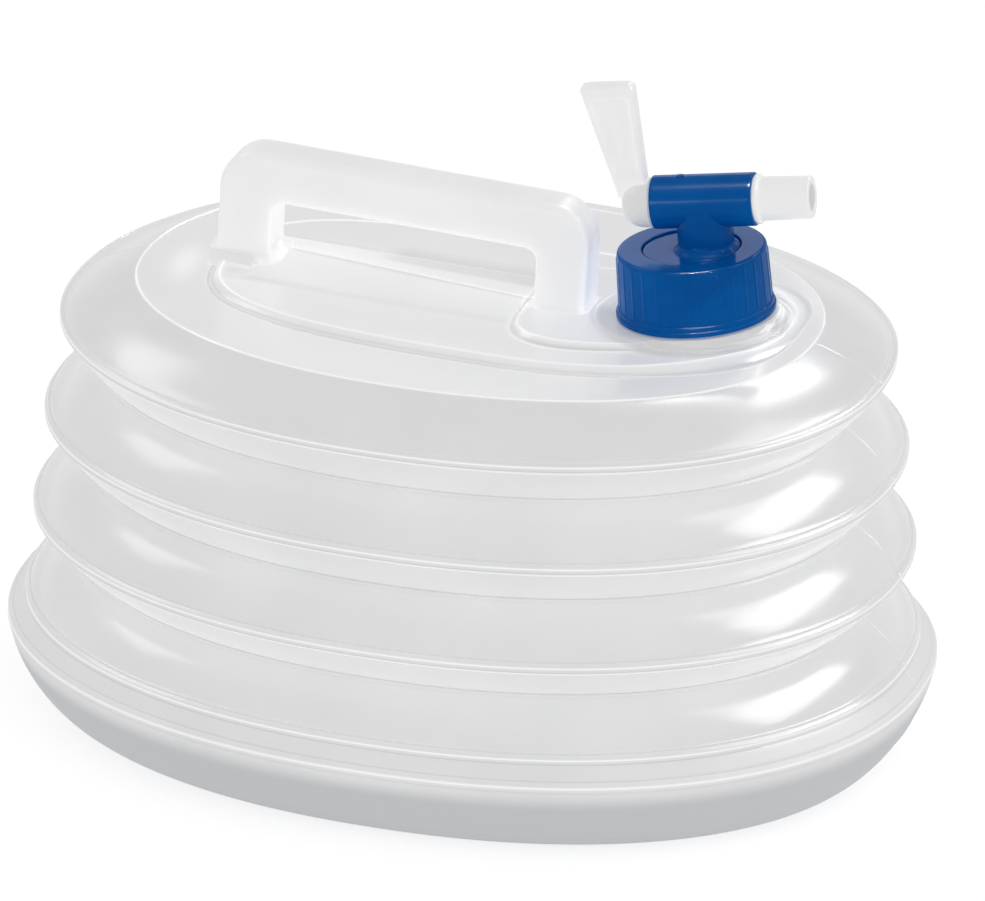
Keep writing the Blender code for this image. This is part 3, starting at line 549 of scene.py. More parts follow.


# Top shell: shoulder, deck with its platform, handle spine and neck pad

# edges and grooves are heights and painted highlight and shade lines are tones, all as (place, half width,
# strength); spots are (x, y, half length, half width, strength); tone, a little above plain, paints the deck
# lighter
deck = dict(
    creaseHalf=(116.4, 84.7), creaseHeight=150.0, shoulderPower=1.22, shoulderRows=26,
    dipHeight=150.0, dipX=30.0, dipRounding=20.0, rearSlope=0.025, frontSlope=0.070,
    platformX=10.75, footHalf=(100.2, 51.0), topHalf=(96.9, 47.6), power=3.0, frontPower=0.8, raised=1.8,
    padX=57.9, padHalf=(46.4, 31.0), padPower=2.5, padEgg=0.33, padRaise=1.6, padBank=2.0,
    spineX=(-78.5, -72.0, 20.0), spineHalf=19.5, spineHeights=(4.85, 0.3), spineBank=0.4,
    parting=(0.0, 1.3, 0.45),
    tone=0.62, padStart=17.6, padCorner=5.0, dipFront=-74.0, dipHalf=17.0, dipDepth=1.8,
    collars=((76.0, 29.2, 28.6, 0.8), (74.5, 33.4, 30.6, 0.5)), seatGap=0.9, wall=1.8,
    hollowX=(-96.0, -82.5, -75.7, -63.6, -58.0, -50.5, -44.0, -40.7, -30.0),
    hollowY=(36.5, 34.0, 32.3, 28.3, 27.4, 31.3, 38.4, 44.6, 62.0), hollowDepth=1.0,
    hollowBank=2.4, hollowSpan=(-36.0, -10.0), padEdge=(1.2, 0.9, 0.45), collarEdge=(0.8, 0.6, 0.12),
    creaseEdge=(0.016, 0.022, 0.45), footGroove=(0.975, 0.03, 0.8), bankGroove=(0.75, 0.25, 0.5),
    seatRadius=26.6, seatHeight=-0.6, seatRows=(24.6, 22.6, 21.0), flatRows=123, sparseRows=26,
    padHighlightLines=((1.2, 0.6, 0.36), (-1.7, 0.6, 0.2)), padShadeLine=(-0.5, 0.8, 0.28),
    collarHighlightLine=(0.8, 0.6, 0.3), collarShadeLine=(-0.5, 0.7, 0.22),
    partingHighlightLine=(0.3, 0.7, 0.35), partingShadeLine=(-0.7, 0.7, 0.25), partingRear=(-66.0, 2.0),
    gableFootShade=(0.0, 3.5, 0.08), rearShade=(-80.0, -14.5, 9.0, 4.5, 0.16), glint=(-66.6, 0.9, 3.0, 1.5, 0.5),
    backShadeEdges=((-42.0, 12.0), (24.0, -4.0), (9.0, 3.0), (30.0, -10.0)), backShadeStrength=0.17,
    capReach=(35.5, -4.0), capSide=(4.0, -10.0), capShade=0.42, capHighlightFade=0.7, creaseHighlight=0.7,
    gutterHighlightLine=(0.014, 0.02, 0.3), gutterShadeLine=(0.975, 0.025, 0.45),
    bankHighlightLine=(0.82, 0.2, 0.38), bankShadeLine=(0.1, 0.3, 0.15),
    litPatch=(-100.0, -10.0, 8.0, 24.0, 0.2), litPatchLean=0.13,
)


def deckHeight(x):
    # dips in front of the handle: a hyperbola with a gentle rear slope and a steeper front one
    offset = x - deck["dipX"]
    slope = np.where(offset < 0, deck["rearSlope"], deck["frontSlope"])
    return deck["dipHeight"] + slope * (np.hypot(offset, deck["dipRounding"]) - deck["dipRounding"])


def insideOval(x, y, centre, half, power):
    # distance in from a superellipse, nearly exact close to it
    u, v = np.abs((x - centre) / half[0]) + 1e-9, np.abs(y / half[1]) + 1e-9
    size = (u ** power + v ** power) ** (1 / power)
    slope = np.hypot(u ** (power - 1) / half[0], v ** (power - 1) / half[1]) * size ** (1 - power)
    return (1 - size) / np.maximum(slope, 1e-4) / size


def insidePad(x, y):
    # egg with a blunt rear end; the two distances meet in (a + b - sqrt((a - b)^2 + k^2)) / 2
    d = deck
    egg = 1 - d["padEgg"] * (x - d["padX"]) / d["padHalf"][0]
    inside = insideOval(x, y / egg, d["padX"], d["padHalf"], d["padPower"])
    blunt = x - d["padStart"]
    corner = d["padCorner"]
    return (inside + blunt - np.sqrt((inside - blunt) ** 2 + corner ** 2)) / 2 + corner * 0.1


def stripe(value, mark):
    # one line of a tone or one ridge of a height
    place, half, strength = mark
    return strength * bump(value - place, half)


def spot(x, y, mark):
    middleX, middleY, halfX, halfY, strength = mark
    return strength * bump(np.hypot((x - middleX) / halfX, (y - middleY) / halfY), 1.0)


def deckTone(x, y):
    # painted highlight and painted shade lines at pad, collars and parting ridge; painted shade at the
    # gable's foot, beside the rear leg, behind the gable and in front of the cap, where the highlight lines
    # fade; a painted glint on the ridge in front of the rear leg
    d = deck
    pad = insidePad(x, y)
    bright = [stripe(pad, mark) for mark in d["padHighlightLines"]]
    dark = [stripe(pad, d["padShadeLine"])]
    for centre, length, width, _ in d["collars"]:
        ring = insideOval(x, y, centre, (length, width), 2.0)
        bright.append(stripe(ring, d["collarHighlightLine"]))
        dark.append(stripe(ring, d["collarShadeLine"]))
    onSpine = ease(d["spineX"][2] - x) * fade(x, d["partingRear"])
    bright += [onSpine * stripe(y, d["partingHighlightLine"]), spot(x, y, d["glint"])]
    foot = stripe(np.abs(y) - d["spineHalf"], d["gableFootShade"]) * ease((d["padStart"] - x) / 2.0)
    # painted shade on the deck behind the gable, under the handle's bar
    back = d["backShadeStrength"]
    for value, span in zip((x, x, y, y), d["backShadeEdges"]):
        back = back * fade(value, span)
    dark += [onSpine * stripe(y, d["partingShadeLine"]), foot, spot(x, y, d["rearShade"]), back]
    bright, dark = np.max(bright, 0), np.max(dark, 0)
    # painted shade on the deck just in front of the cap, where the painted highlight lines fade
    near = fade(np.hypot(x - neckFrame.translation[0] / mm, y), d["capReach"]) * fade(y, d["capSide"])
    dark = np.maximum(dark * (bright < 0.1), d["capShade"] * near)
    return d["tone"] + bright * (1 - d["capHighlightFade"] * near) - dark


def deckSurface(x, y):
    # platform top with the handle's gable and parting ridge, the neck's pad and two collars round the cap
    d = deck
    ground = deckHeight(x)
    rear, ridgeRear, front = d["spineX"]
    ridge = np.interp(x, (ridgeRear, front), d["spineHeights"]) * ease((x - rear) / (ridgeRear - rear))
    side = np.abs(y)
    gable = np.maximum(1 - side / d["spineHalf"], 0) * ridge
    foot = ease((d["spineHalf"] - side) / 1.4 + 0.5) * ease((x - rear) / 4.0)
    spine = gable + foot * d["spineBank"] * ease((front + 6.0 - x) / 6.0)
    spine = spine + stripe(y, d["parting"]) * ease((front + 2.0 - x) / 2.0)
    beyond = y - np.interp(x, d["hollowX"], d["hollowY"])
    hollow = ease(beyond / d["hollowBank"] + 0.5) * fade(x, d["hollowSpan"])
    beside = ease((d["dipFront"] - x) / 4.0) * ease((d["dipHalf"] - side) / 6.0)
    height = ground + spine - hollow * d["hollowDepth"] - beside * d["dipDepth"]
    pad = insidePad(x, y)
    onPad = ground + d["padRaise"] * ease(pad / d["padBank"] + 0.5)
    height = np.maximum(height, onPad) + stripe(pad, d["padEdge"])
    for centre, length, width, lift in d["collars"]:
        ring = insideOval(x, y, centre, (length, width), 2.0)
        height = height + lift * ease(ring / 1.5 + 0.5) + stripe(ring, d["collarEdge"])
    return height


def platformRing(share, drop):
    # from the foot outline at 0 to the top edge at 1, which is rounder towards the front
    d = deck
    foot = ovalUnit(d["power"]) * d["footHalf"]
    top = ovalUnit(d["power"] - d["frontPower"] * ease(np.cos(angles))) * d["topHalf"]
    x, y = mix(foot, top, share).T
    return np.stack([d["platformX"] + x, y, deckHeight(d["platformX"] + x) - drop], -1)


def neckRing(radius):
    # a ring round the neck's axis, just under its foot
    ring = np.stack([radius * np.cos(angles), radius * np.sin(angles), deck["seatHeight"] + 0 * angles], -1)
    return placed(ring, neckFrame) / mm


def buildTop():
    d = deck
    crease = np.array([*d["creaseHalf"], d["creaseHeight"]])
    lip = crestProfile(0, crease, valley(0))
    profile = join([lip[::-1], arcRows(lip[0], crease, d["shoulderPower"], d["shoulderRows"])[1:]])
    outer, outerTone = ovalRows(profile), rowTones(profile, (0,))
    # painted highlight along the crease
    outerTone[-1] = d["creaseHighlight"]
    foot = platformRing(-0.1, d["raised"])
    across = join([[0.008, 0.016, 0.026, 0.04, 0.06], np.linspace(0.1, 0.9, 9),
                   [0.94, 0.965, 0.98, 0.99, 1.0]])
    share = across[:, None, None]
    gutter = mix(outer[-1], foot, share)
    gutter[..., 2] += (stripe(share, d["creaseEdge"]) - stripe(share, d["footGroove"]))[..., 0]
    # painted highlight line by the crease and painted shade line at the platform's foot
    gutterTone = d["tone"] + (stripe(across, d["gutterHighlightLine"]) - stripe(across, d["gutterShadeLine"]))
    climb = np.linspace(0, 1, 12)[1:]
    drops = d["raised"] * (1 - ease(climb * 1.1)) - stripe(climb, d["bankGroove"])
    bank = np.stack([platformRing(*pair) for pair in zip(climb, drops)])
    # painted highlight line near the platform's top edge and painted shade line at its foot
    bankTone = d["tone"] + (stripe(climb, d["bankHighlightLine"]) - stripe(climb, d["bankShadeLine"]))
    neck = neckRing(d["seatRadius"] + d["seatGap"])
    share = (np.linspace(0, 1, d["flatRows"])[1:] ** 0.96)[:, None, None]
    flat = mix(bank[-1], neck, share)
    x, y, z = np.moveaxis(flat, -1, 0)
    hold, startHold = ease((1 - share[..., 0]) * 12.0), ease(share[..., 0] * 30.0)
    flat[..., 2] = mix(deckHeight(x), mix(z, deckSurface(x, y), hold), startHold)
    seat = np.stack([neckRing(radius) for radius in d["seatRows"]])
    grids = (outer, gutter, bank, flat, seat)
    tones = (outerTone, gutterTone[:, None], bankTone[:, None], deckTone(x, y), 0.5)
    upper = join(grids)
    tones = join([np.broadcast_to(tone, grid.shape[:2]) for tone, grid in zip(tones, grids)])
    x, y = upper[..., 0], upper[..., 1]
    # painted highlight patch on the shell's left rear
    tones = np.clip(tones + spot(x + d["litPatchLean"] * (y - d["litPatch"][1]), y, d["litPatch"]), 0, 1)
    lower = everyFew(upper, d["sparseRows"])[::-1].copy()
    lower[..., 2] -= d["wall"]
    lower[..., :2] *= 1 - d["wall"] / d["creaseHalf"][0]
    return [(join([upper, lower]) * mm, True, join([tones, np.full(lower.shape[:2], 0.5)]))]


makePiece("top_shell", buildTop(), frostedPaint, "top", ["shoulder_ring", "top_deck"])


# Carry handle

handle = dict(x=-25.75, tilt=2.3, length=129.5, height=39.4, thickness=16.0, barDepth=17.2, rearLeg=19.5,
              frontLeg=18.4, cornerRadius=13.8, slotRadius=4.5, edge=3.0, below=3.0, cornerRows=14,
              ledgeOut=2.9, ledgeSide=1.1, ledgeHeight=4.6, ledgeEnd=-77.5, rearFillet=4.2, frontFillet=1.3,
              footCore=(6.0, 4.5), rimIn=0.9, rimHighlight=0.3, rimSpan=(0.62, 0.06), slotHighlight=0.25,
              slotSpans=((0.36, -0.04), (0.10, 0.03)), capSideLight=0.3, capSpan=(0.66, 0.08), ledgeShade=0.22)


def handleSections():
    # stations of inner and outer points round the loop, each a rounded rectangle
    h = handle
    half = h["length"] / 2
    slotTop, slotRear, slotFront = h["height"] - h["barDepth"], -half + h["rearLeg"], half - h["frontLeg"]
    slot, corner, below = h["slotRadius"], h["cornerRadius"], h["below"]
    climb = np.linspace(0, 1, 60)[:-1] ** 1.35
    rise = -below + (slotTop - slot + below) * climb
    outerRise = -below + (h["height"] - corner + below) * climb
    pairs = [((slotRear, inZ), (-half, outZ)) for inZ, outZ in zip(rise, outerRise)]
    for first, slotX, outX, side in ((pi, slotRear, -half, 1), (pi / 2, slotFront, half, -1)):
        turn = first - pi / 2 * np.arange(h["cornerRows"] + 1) / h["cornerRows"]
        ray = np.stack([np.cos(turn), np.sin(turn)], -1)
        bend = np.stack([ray * slot + (slotX + side * slot, slotTop - slot),
                         ray * corner + (outX + side * corner, h["height"] - corner)], 1)
        if side < 0:
            start = np.array(pairs[-1])
            pairs += [mix(start, bend[0], share) for share in np.linspace(0, 1, 40)[1:-1]]
        pairs += list(bend)
    pairs += [((slotFront, inZ), (half, outZ)) for inZ, outZ in zip(rise[::-1], outerRise[::-1])]
    return np.array(pairs, float)


def roundedLoop(halfWidth, halfDepth, radius, onWidth, onDepth, steps=6):
    # a rounded rectangle in (across, side): corners as arcs, and each flat split into that many parts
    corners = ((1, 1), (-1, 1), (-1, -1), (1, -1))
    arcs = []
    for quarter, (across, side) in enumerate(corners):
        turn = pi / 2 * (quarter + np.arange(steps + 1) / steps)
        arcs.append(np.stack([across * (halfWidth - radius) + radius * np.cos(turn),
                              side * (halfDepth - radius) + radius * np.sin(turn)], -1))
    points = []
    for arc, after, parts in zip(arcs, arcs[1:] + arcs[:1], (onWidth, onDepth) * 2):
        share = (np.arange(1, parts) / parts)[:, None]
        points += [arc, mix(arc[-1], after[0], share)]
    return join(points)


def buildHandle():
    # painted highlights on the rims and mid-plane seam of the front leg and on the slot's rims in the rear
    # leg, and painted light on the side towards the cap
    h = handle
    pairs = handleSections()
    reach = pairs[:, 1] - pairs[:, 0]
    width = np.linalg.norm(reach, axis=1)
    sections, tones = [], []
    stations = zip(pairs.mean(1), reach / width[:, None], width, np.linspace(0, 1, len(pairs)))
    for centre, unit, span, at in stations:
        loop = roundedLoop(span / 2, h["thickness"] / 2, h["edge"], 8, 8)
        outside, inside = loop[:, 0] - span / 2, -loop[:, 0] - span / 2
        fromSide = np.abs(loop[:, 1]) - h["thickness"] / 2 + h["rimIn"]
        rim = bump(np.hypot(outside + h["rimIn"], fromSide), 1.3) + bump(loop[:, 1], 0.8) * (outside > -0.5)
        slotRim = bump(np.hypot(inside + h["rimIn"], fromSide), 1.1)
        nearEnds = fade(at, h["slotSpans"][0]) * fade(at, h["slotSpans"][1])
        towardsCap = fade(at, h["capSpan"]) * ease((outside + 3.5) / 2.5)
        tones.append(0.5 + h["rimHighlight"] * rim * fade(at, h["rimSpan"]) + h["slotHighlight"] * slotRim * nearEnds
                     + h["capSideLight"] * towardsCap)
        flat = centre + unit * loop[:, :1]
        sections.append(np.stack([flat[:, 0], loop[:, 1], flat[:, 1]], -1))
    return np.stack(sections), np.clip(np.stack(tones), 0, 1)


def flared(grid):
    # near the deck the legs widen by r - sqrt(r^2 - (r - s)^2) at s over the ground, r being the fillet
    h = handle
    half = h["length"] / 2
    x, y = grid[..., 0].copy(), grid[..., 1].copy()
    isRear = x < h["x"]
    middle = h["x"] + np.where(isRear, h["rearLeg"] / 2 - half, half - h["frontLeg"] / 2)
    over = grid[..., 2] - deckSurface(x, y)
    blend = ease((x - h["ledgeEnd"]) / 2.5)
    radius = h["frontFillet"] + isRear * (h["rearFillet"] - h["frontFillet"]) * blend
    below = np.clip(radius - over, 0, radius)
    out = radius - np.sqrt(radius ** 2 - below ** 2)
    away = np.stack([x - middle, y], -1)
    away = np.sign(away) * np.maximum(np.abs(away) - h["footCore"], 0)
    away[..., 0] = np.where(isRear & (away[..., 0] < 0), 0, away[..., 0])
    size = np.maximum(np.linalg.norm(away, axis=-1, keepdims=True), 0.5)
    grid[..., :2] += away / size * out[..., None] * np.where(isRear, blend, 1)[..., None]
    ledge = isRear * (1 - blend) * ease((h["ledgeHeight"] - over) / 0.7)
    grid[..., 0] -= ledge * h["ledgeOut"] * ease((h["x"] - half + 4.0 - x) / 4.0)
    grid[..., 1] += ledge * h["ledgeSide"] * np.clip(y / 6.0, -1, 1)
    return grid, ledge


handleFoot = Vector((handle["x"], 0, deckHeight(handle["x"]))) * mm
handleFrame = Matrix.Translation(handleFoot) @ Matrix.Rotation(radians(handle["tilt"]), 4, "Y")
flatLoop, loopTone = buildHandle()
loop, ledge = flared(placed(flatLoop, handleFrame) / mm)
# the rear leg's ledge gets painted shade
loopGrid = (loop * mm, False, loopTone - handle["ledgeShade"] * ledge)
makePiece("handle_loop", [loopGrid], milkyPaint, "top", ["carry_handle"])


# Filler neck with its thread

neckReach = [place.co - neckFrame.translation for place in frame["nodes"]["filler_neck"].data.vertices]
# thread is (from, to, half width as a share of the pitch, shift in turns), collar (radius, from, to)
neck = dict(radius=21.2, bore=19.0, foot=-2.4, rim=max(reach.dot(neckUp) for reach in neckReach) / mm,
            collar=(22.3, 1.0, 2.5), thread=(5.0, 13.0, 0.22, 0.0), threadHeight=1.0, pitch=4.0,
            boreShade=0.5, shadeDepth=9.0)


def threadRidge(grid, start, end, half, shift):
    # a ridge that climbs one pitch a turn, with its ends tapered
    height = grid[..., 2]
    turns = (height - start) / neck["pitch"] - (np.arctan2(grid[..., 1], grid[..., 0]) / tau + shift)
    return bump((turns % 1.0) - 0.5, half) * (ease((height - start) / 1.2) * ease((end - height) / 1.2))


def buildNeck():
    n = neck
    radius, bore, foot, rim = n["radius"], n["bore"], n["foot"], n["rim"]
    wide, low, high = n["collar"]
    points = [(radius, foot), (radius, low), (wide, low), (wide, high), (radius, high), (radius, rim),
              (bore, rim), (bore, foot)]
    outer = densify(soften(points, 0.25, 2), 0.25)
    grid = turnedGrid(outer, 180)
    side = np.hypot(grid[..., 0], grid[..., 1])
    ridge = threadRidge(grid, *n["thread"]) * (side > radius - 0.1)
    grid[..., :2] *= (1 + ridge * n["threadHeight"] / side)[..., None]
    tone = 0.5 - n["boreShade"] * ease((rim - outer[:, 1]) / n["shadeDepth"]) * (outer[:, 0] < bore + 0.4)
    return [(placed(grid, neckFrame), True, tone[:, None])]


makePiece("threaded_neck", buildNeck(), frostedPaint, "top", ["filler_neck"])


# Screw cap with grip ribs, a ladder strip and its stepped flange

capRing = dict(height=22.4, flange=26.6, step=1.6, skirt=25.4, top=24.9, inner=22.9, topThickness=1.8,
               hole=16.6, topRound=1.3, ribs=30, ribHeight=0.28, ribHalf=0.16, stripTurn=-60.6,
               stripHalf=3.6, stripHeight=0.22, rungs=(20.0, 16.3, 12.2, 7.9), rungHeight=0.5, rungPlace=2.7,
               rungHalf=(1.5, 0.9), thread=(3.0, 15.0, 0.2, 0.5), threadDepth=0.9)


def buildCap():
    c = capRing
    flange, skirt, top, inner, hole = c["flange"], c["skirt"], c["top"], c["inner"], c["hole"]
    step, ledge, height, under = c["step"], 2 * c["step"], c["height"], c["height"] - c["topThickness"]
    between = (flange + skirt) / 2
    points = [(inner, 0), (flange, 0), (flange, step), (between, step), (between, ledge), (skirt, ledge),
              (top, height), (hole, height), (hole, under), (inner, under), (inner, 0.01)]
    cuts = [0, 0.3, 0.35, 0.2, 0.35, 0.3, c["topRound"], 0.35, 0.15, 0.2, 0]
    grid = turnedGrid(densify(soften(points, cuts, 5), 0.55), 600)
    x, y, z = np.moveaxis(grid, -1, 0)
    radius, angle = np.hypot(x, y), np.arctan2(y, x)
    onSkirt = ease((radius - top + 0.6) / 0.4) * ease((z - ledge - 0.3) / 0.8)
    onSkirt = onSkirt * ease((height - 1.2 - z) / 1.4)
    along = top * ((angle - radians(c["stripTurn"]) + pi) % tau - pi)
    inStrip = c["stripHalf"] - np.abs(along)
    relief = c["ribHeight"] * bump((angle / tau * c["ribs"]) % 1.0 - 0.5, c["ribHalf"])
    relief = relief * (1 - ease((inStrip + 0.4) / 0.4)) + c["stripHeight"] * ease(inStrip / 0.35)
    halfLong, halfHigh = c["rungHalf"]
    for rung in c["rungs"]:
        relief = relief + c["rungHeight"] * bump(along - c["rungPlace"], halfLong) * bump(z - rung, halfHigh)
    thread = c["threadDepth"] * threadRidge(grid, *c["thread"]) * (np.abs(radius - inner) < 0.05)
    grid[..., :2] *= (1 + (relief * onSkirt - thread) / radius)[..., None]
    return [(placed(grid, neckFrame), True)]


screwCap = makePiece("screw_cap", buildCap(), bluePaint, "cap", ["cap_ring"])
kept = (("cap_gasket", gasketPaint, "pale_gasket"), ("plug_seal_front", sealPaint, "seal_rubber"),
        ("plug_seal_rear", sealPaint, "seal_rubber"))
for node, paint, slotName in kept:
    thing = frame["nodes"][node]
    thing.data.materials.clear()
    thing.data.materials.append(paint)


# Tap body: flange under the cap, stem with its flare, and the barrel

tap = dict(flangeRadius=22.0, flangeTop=20.3, flangeBottom=17.8, bossRadius=16.3, bossTop=21.8,
           coreRadius=4.5, stemOffset=5.1, stemRadius=9.35, stemHalf=(8.85, 8.6), flare=1.8, flareHeight=2.4,
           barrelHeight=38.5, barrelRear=16.5, barrelFront=18.0, barrelRadius=8.9, bore=7.6, edge=0.5,
           nubX=-6.8, nub=((0.1, -0.8), (1.3, -0.8), (1.3, 0.35), (0.1, 0.4)), columns=128)


def buildTap():
    t = tap
    wide, low, high, core = t["flangeRadius"], t["flangeBottom"], t["flangeTop"], t["coreRadius"]
    boss, bossTop = t["bossRadius"], t["bossTop"]
    points = [(core, low), (wide, low), (wide, high), (boss, high), (boss, bossTop), (core, bossTop)]
    disc = turnedGrid(densify(soften(points, [0, 0.3, 0.3, 0.1, 0.4, 0], 3), 1.0), t["columns"])
    angle = np.arange(t["columns"]) * tau / t["columns"]
    x, y = np.cos(angle), np.sin(angle)
    stem, flare, rise = t["stemRadius"], t["flare"], t["flareHeight"]
    points = [(stem + flare, bossTop - 0.8), (stem + flare, bossTop + 0.1),
              (stem + flare * 0.3, bossTop + rise * 0.55), (stem, bossTop + rise)]
    rows = [np.stack([radius * x, radius * y, z + 0 * x], -1)
            for radius, z in densify(soften(points, 0.7, 4), 0.5)]
    outerHalf, meetHalf = t["stemHalf"]
    wide = np.abs(stem * y)
    slope = atan2(barrelFrame.to_3x3().col[0].dot(neckUp), 1.0)
    meet = t["barrelHeight"] + slope * stem * x
    meet = meet - np.sqrt(np.maximum(t["barrelRadius"] ** 2 - np.minimum(wide, meetHalf) ** 2, 1.0)) + 0.8
    start, across = rows[-1][:, 2], np.minimum(wide, outerHalf) * np.sign(y)
    rows += [np.stack([stem * x, across, mix(start, meet, up)], -1) for up in np.linspace(0, 1, 26)[1:]]
    stemGrid = np.stack(rows) + np.array([t["stemOffset"], 0, 0])
    bore, radius, rear, front = t["bore"], t["barrelRadius"], -t["barrelRear"], t["barrelFront"]
    points = [(bore, rear), (radius, rear), (radius, front), (bore, front), (bore, rear + 0.01)]
    tube = densify(soften(points, [0, t["edge"], t["edge"], 0.3, 0], 4), 0.8)
    barrel = turnedGrid(tube, t["columns"], lying=True)
    nub = turnedGrid(soften(t["nub"], 0.2, 3), 32) + np.array([t["nubX"], 0, radius])
    return [(placed(disc, tapFrame), False), (placed(stemGrid, tapFrame), False),
            (placed(barrel, barrelFrame), True), (placed(nub, barrelFrame), False)]


tapHousing = makePiece("tap_housing", buildTap(), bluePaint, "tap", ["tap_body"])


# Plug with its spout

plug = dict(core=7.3, bead=8.35, beadWidth=1.5, spoutLength=19.0, spoutRadius=7.1, taper=0.25, bore=4.6,
            boreDepth=30.0, boreShade=0.35, drive=4.2, driveLength=5.5)


def buildPlug():
    p = plug
    front, rear = tap["barrelFront"], -tap["barrelRear"]
    core, bead, spout, bore, drive = p["core"], p["bead"], p["spoutRadius"], p["bore"], p["drive"]
    end, tail, ledge = front + p["spoutLength"], rear - p["driveLength"], front + p["beadWidth"]
    deep = end - p["boreDepth"]
    points = [(0.2, tail), (drive, tail), (drive, rear - 0.05), (core, rear - 0.05), (core, front + 0.2),
              (bead, front + 0.3), (bead, ledge + 0.3), (spout + p["taper"], ledge + 0.6),
              (spout, end - 0.8), (spout, end), (bore, end), (bore - 0.2, end - 6.0), (bore - 0.3, deep),
              (0.2, deep - 0.8)]
    cuts = [0, 0.3, 0.1, 0.2, 0.1, 0.5, 0.5, 0.3, 0.2, 0.9, 0.7, 0.2, 0.5, 0]
    rows = densify(soften(points, cuts, 5), 1.0)
    tone = 0.5 - p["boreShade"] * ((rows[:, :1] < bore + 0.2) & (rows[:, 1:] > deep - 1))
    return [(placed(turnedGrid(rows, 128, lying=True), barrelFrame), False, tone)]


makePiece("plug_and_spout", buildPlug(), whitePaint, "valve", ["tap_plug"])


# Lever: ball hub and a paddle with a raised border

lever = dict(hubRadius=8.2, hubLength=10.4, socketRadius=4.5, socketDepth=5.8, rootWidth=9.9, topWidth=18.4,
             lean=4.9, start=3.0, height=42.2, thickness=6.4, recess=0.95, recessFrom=10.5, recessTo=4.2,
             ridgeHalf=0.22, ridgeShare=0.55, border=1.7, setback=1.1, topRound=2.2, rows=110, hubShade=0.22)


def buildLever():
    v = lever
    face = -tap["barrelRear"] - 0.3
    turn = np.linspace(0, pi / 2, 16)
    length, radius, bore, deep = v["hubLength"], v["hubRadius"], v["socketRadius"], face - v["socketDepth"]
    dome = [radius * np.sin(turn) ** 0.8 + 0.01, face - length + length * 0.75 * (1 - np.cos(turn))]
    rest = [(radius, face - 0.4), (radius - 0.4, face), (bore, face), (bore, deep), (0.2, deep)]
    hub = turnedGrid(densify(join([np.stack(dome, -1), rest]), 1.2), 96, lying=True)
    z = np.linspace(v["start"], v["height"], v["rows"])
    share = (z - v["start"]) / (v["height"] - v["start"])
    width = v["rootWidth"] + (v["topWidth"] - v["rootWidth"]) * share
    centre = face - v["setback"] - v["rootWidth"] / 2 - v["lean"] * share
    fromTop, corner = v["height"] - z, v["topRound"]
    off = corner - np.sqrt(np.maximum(corner ** 2 - (corner - np.minimum(fromTop, corner)) ** 2, 0))
    loops = []
    for middle, half, depthHalf, high in zip(centre, width / 2 - off, v["thickness"] / 2 - 0.6 * off, z):
        loop = roundedLoop(half, depthHalf, min(1.3, depthHalf - 0.05), 36, 4)
        across, side = loop.T
        inside = ease((half - np.abs(across) - v["border"]) / 0.7) * ease((high - v["recessFrom"]) / 2.5)
        inside = inside * ease(v["height"] - v["recessTo"] - high)
        depth = v["recess"] * inside * (1 - bump(across / half, v["ridgeHalf"]) * v["ridgeShare"] * inside)
        side = side - np.sign(side) * depth * (np.abs(side) > v["thickness"] / 2 - 0.9)
        loops.append(np.stack([middle + across, side, high + 0 * side], -1))
    # the hub is painted in shade, darker than plain
    return [(placed(hub, barrelFrame), False, v["hubShade"]), (placed(np.stack(loops), barrelFrame), False)]


makePiece("lever_and_hub", buildLever(), whitePaint, "valve", ["tap_lever"])


# Floor, light and camera

camera = dict(azimuth=17.39, elevation=23.44, roll=1.32, distance=4008.2, focalPixels=12000.0,
              imageWidth=985, target=(6.4, -1.5, 94.9))
studio = dict(sky=0.53, floorTone=0.86, floorReach=6.0, floorGlow=0.14, seenGlow=0.38, horizon=0.90,
              zenith=0.50, horizonTop=0.45, lampDistance=1.3, aimHeight=0.09)
# name, azimuth, elevation, (width, height) in metres, watts; all but the key lamp are seen in gloss only
lamps = (
    ("folds", 19, 38, (1.0, 0.48), 10.5),
    ("folds_top", 22, 56, (0.85, 0.32), 2.6),
    ("shoulder", 82, 45, (0.42, 0.40), 4.2),
    ("left_folds", 181, 43, (0.45, 0.44), 1.7),
    ("left_shoulder", 153, 43, (0.42, 0.26), 1.05),
    ("key", -60, 46, (0.9, 0.9), 0.9),
    ("blue_edges", -80, 84, (0.55, 0.16), 190.0),
    ("blue_barrel", -103.5, 19, (0.05, 0.03), 6.0),
    ("blue_rungs", -47, 32, (0.16, 0.12), 6.0),
    ("blue_top", 112, 19, (0.50, 0.30), 0.6),
)


def addCamera():
    c = camera
    az, el, roll = (radians(c[key]) for key in ("azimuth", "elevation", "roll"))
    back = Vector((sin(az) * cos(el), -cos(az) * cos(el), sin(el)))
    right = Vector((cos(az), sin(az), 0))
    up = back.cross(right)
    across = right * cos(roll) + up * sin(roll)
    upward = up * cos(roll) - right * sin(roll)
    lens = bpy.data.cameras.new("camera")
    lens.sensor_width = 36.0
    lens.lens = c["focalPixels"] * lens.sensor_width / c["imageWidth"]
    lens.clip_end = 50.0
    eye = bpy.data.objects.new("camera", lens)
    turn = Matrix((across, upward, back)).transposed().to_4x4()
    eye.matrix_world = Matrix.Translation((Vector(c["target"]) + back * c["distance"]) * mm) @ turn
    scene.collection.objects.link(eye)
    scene.camera = eye


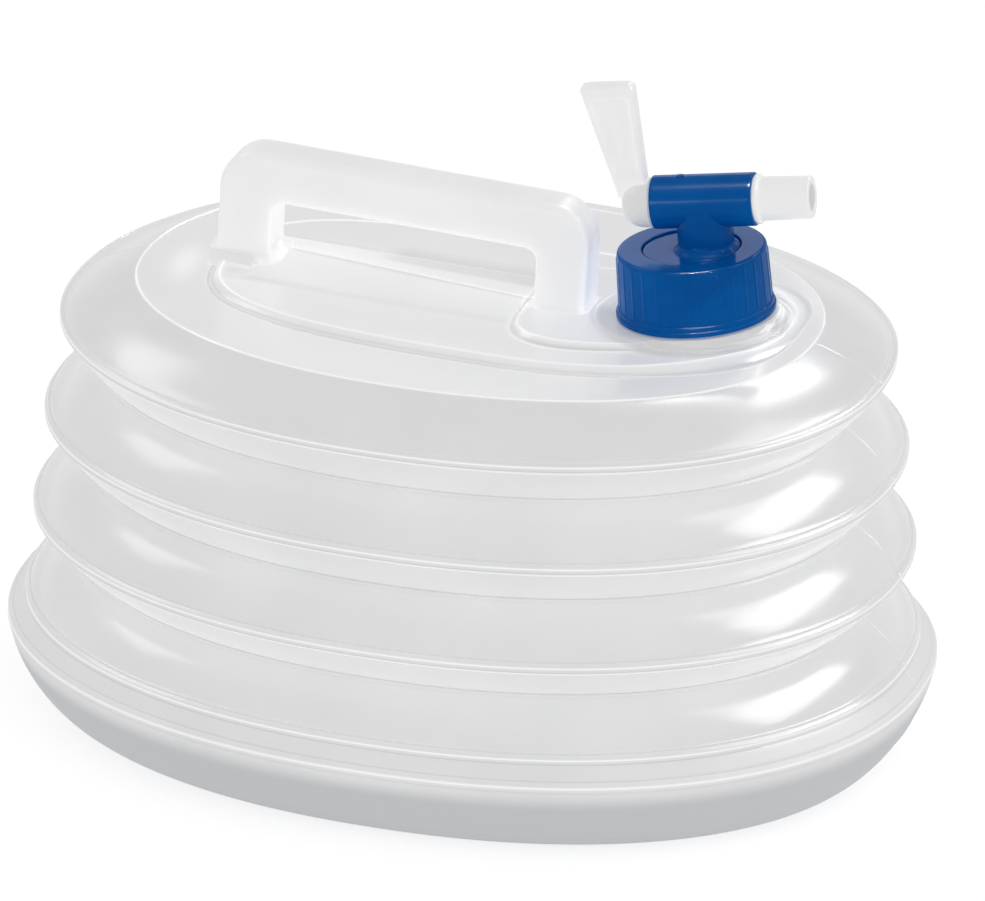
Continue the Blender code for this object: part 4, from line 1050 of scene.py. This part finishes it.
def addSoftbox(name, azimuth, elevation, size, power):
    # a lamp that is aimed at the carrier; the blue ones light only the two blue pieces
    lamp = bpy.data.lights.new(name, "AREA")
    lamp.shape = "RECTANGLE"
    lamp.size, lamp.size_y = size
    lamp.energy = power
    box = bpy.data.objects.new(name, lamp)
    box.visible_diffuse = name == "key"
    az, el = radians(azimuth), radians(elevation)
    direction = Vector((cos(az) * cos(el), sin(az) * cos(el), sin(el)))
    box.location = Vector((0, 0, studio["aimHeight"])) + direction * studio["lampDistance"]
    box.rotation_euler = direction.to_track_quat("Z", "Y").to_euler()
    if name.startswith("blue"):
        group = bpy.data.collections.new(name + "_group")
        for piece in (screwCap, tapHousing):
            group.objects.link(piece)
        box.light_linking.receiver_collection = group
    scene.collection.objects.link(box)


def seenBy(tree, kind):
    return addNode(tree, "LightPath", output="Is %s Ray" % kind)


def addSky():
    # white for the camera, and for glossy rays brighter at the horizon than overhead
    s = studio
    world = bpy.data.worlds.new("studio")
    scene.world = world
    world.use_nodes = True
    tree = world.node_tree
    tree.nodes.clear()
    seen, through = seenBy(tree, "Camera"), seenBy(tree, "Transmission")
    plain = seen.maths("MAXIMUM", seen, through)
    up = addNode(tree, "SeparateXYZ", None, {0: addNode(tree, "TexCoord", output=0)}, 2)
    spans = (0.0, s["horizonTop"], s["horizon"] - s["sky"], s["zenith"] - s["sky"])
    mirrored = seenBy(tree, "Glossy") * mapRange(tree, up, spans, "SMOOTHSTEP")
    level = plain * (1 - s["sky"]) + mirrored + s["sky"]
    sky = addNode(tree, "Background", None, {"Color": grey(1), "Strength": level})
    out = tree.nodes.new("ShaderNodeOutputWorld")
    tree.links.new(sky.socket, out.inputs["Surface"])


def addFloor():
    s = studio
    mesh = bpy.data.meshes.new("floor")
    far = s["floorReach"]
    mesh.from_pydata([(-far, -far, 0), (far, -far, 0), (far, far, 0), (-far, far, 0)], [], [(0, 1, 2, 3)])
    floor = bpy.data.objects.new("floor", mesh)
    scene.collection.objects.link(floor)
    paint = bpy.data.materials.new("pale_floor")
    paint.use_nodes = True
    tree = paint.node_tree
    shader = tree.nodes["Principled BSDF"]
    shader.inputs["Base Color"].default_value = grey(s["floorTone"])
    shader.inputs["Roughness"].default_value = 0.9
    strength = seenBy(tree, "Camera") * s["seenGlow"] + s["floorGlow"]
    glow = addNode(tree, "Emission", None, {"Color": grey(1), "Strength": strength})
    both = addNode(tree, "AddShader", None, {0: Wire(tree, shader.outputs[0]), 1: glow})
    tree.links.new(both.socket, tree.nodes["Material Output"].inputs["Surface"])
    mesh.materials.append(paint)


addCamera()
for lamp in lamps:
    addSoftbox(*lamp)
addSky()
addFloor()
scene.view_settings.view_transform = "Standard"
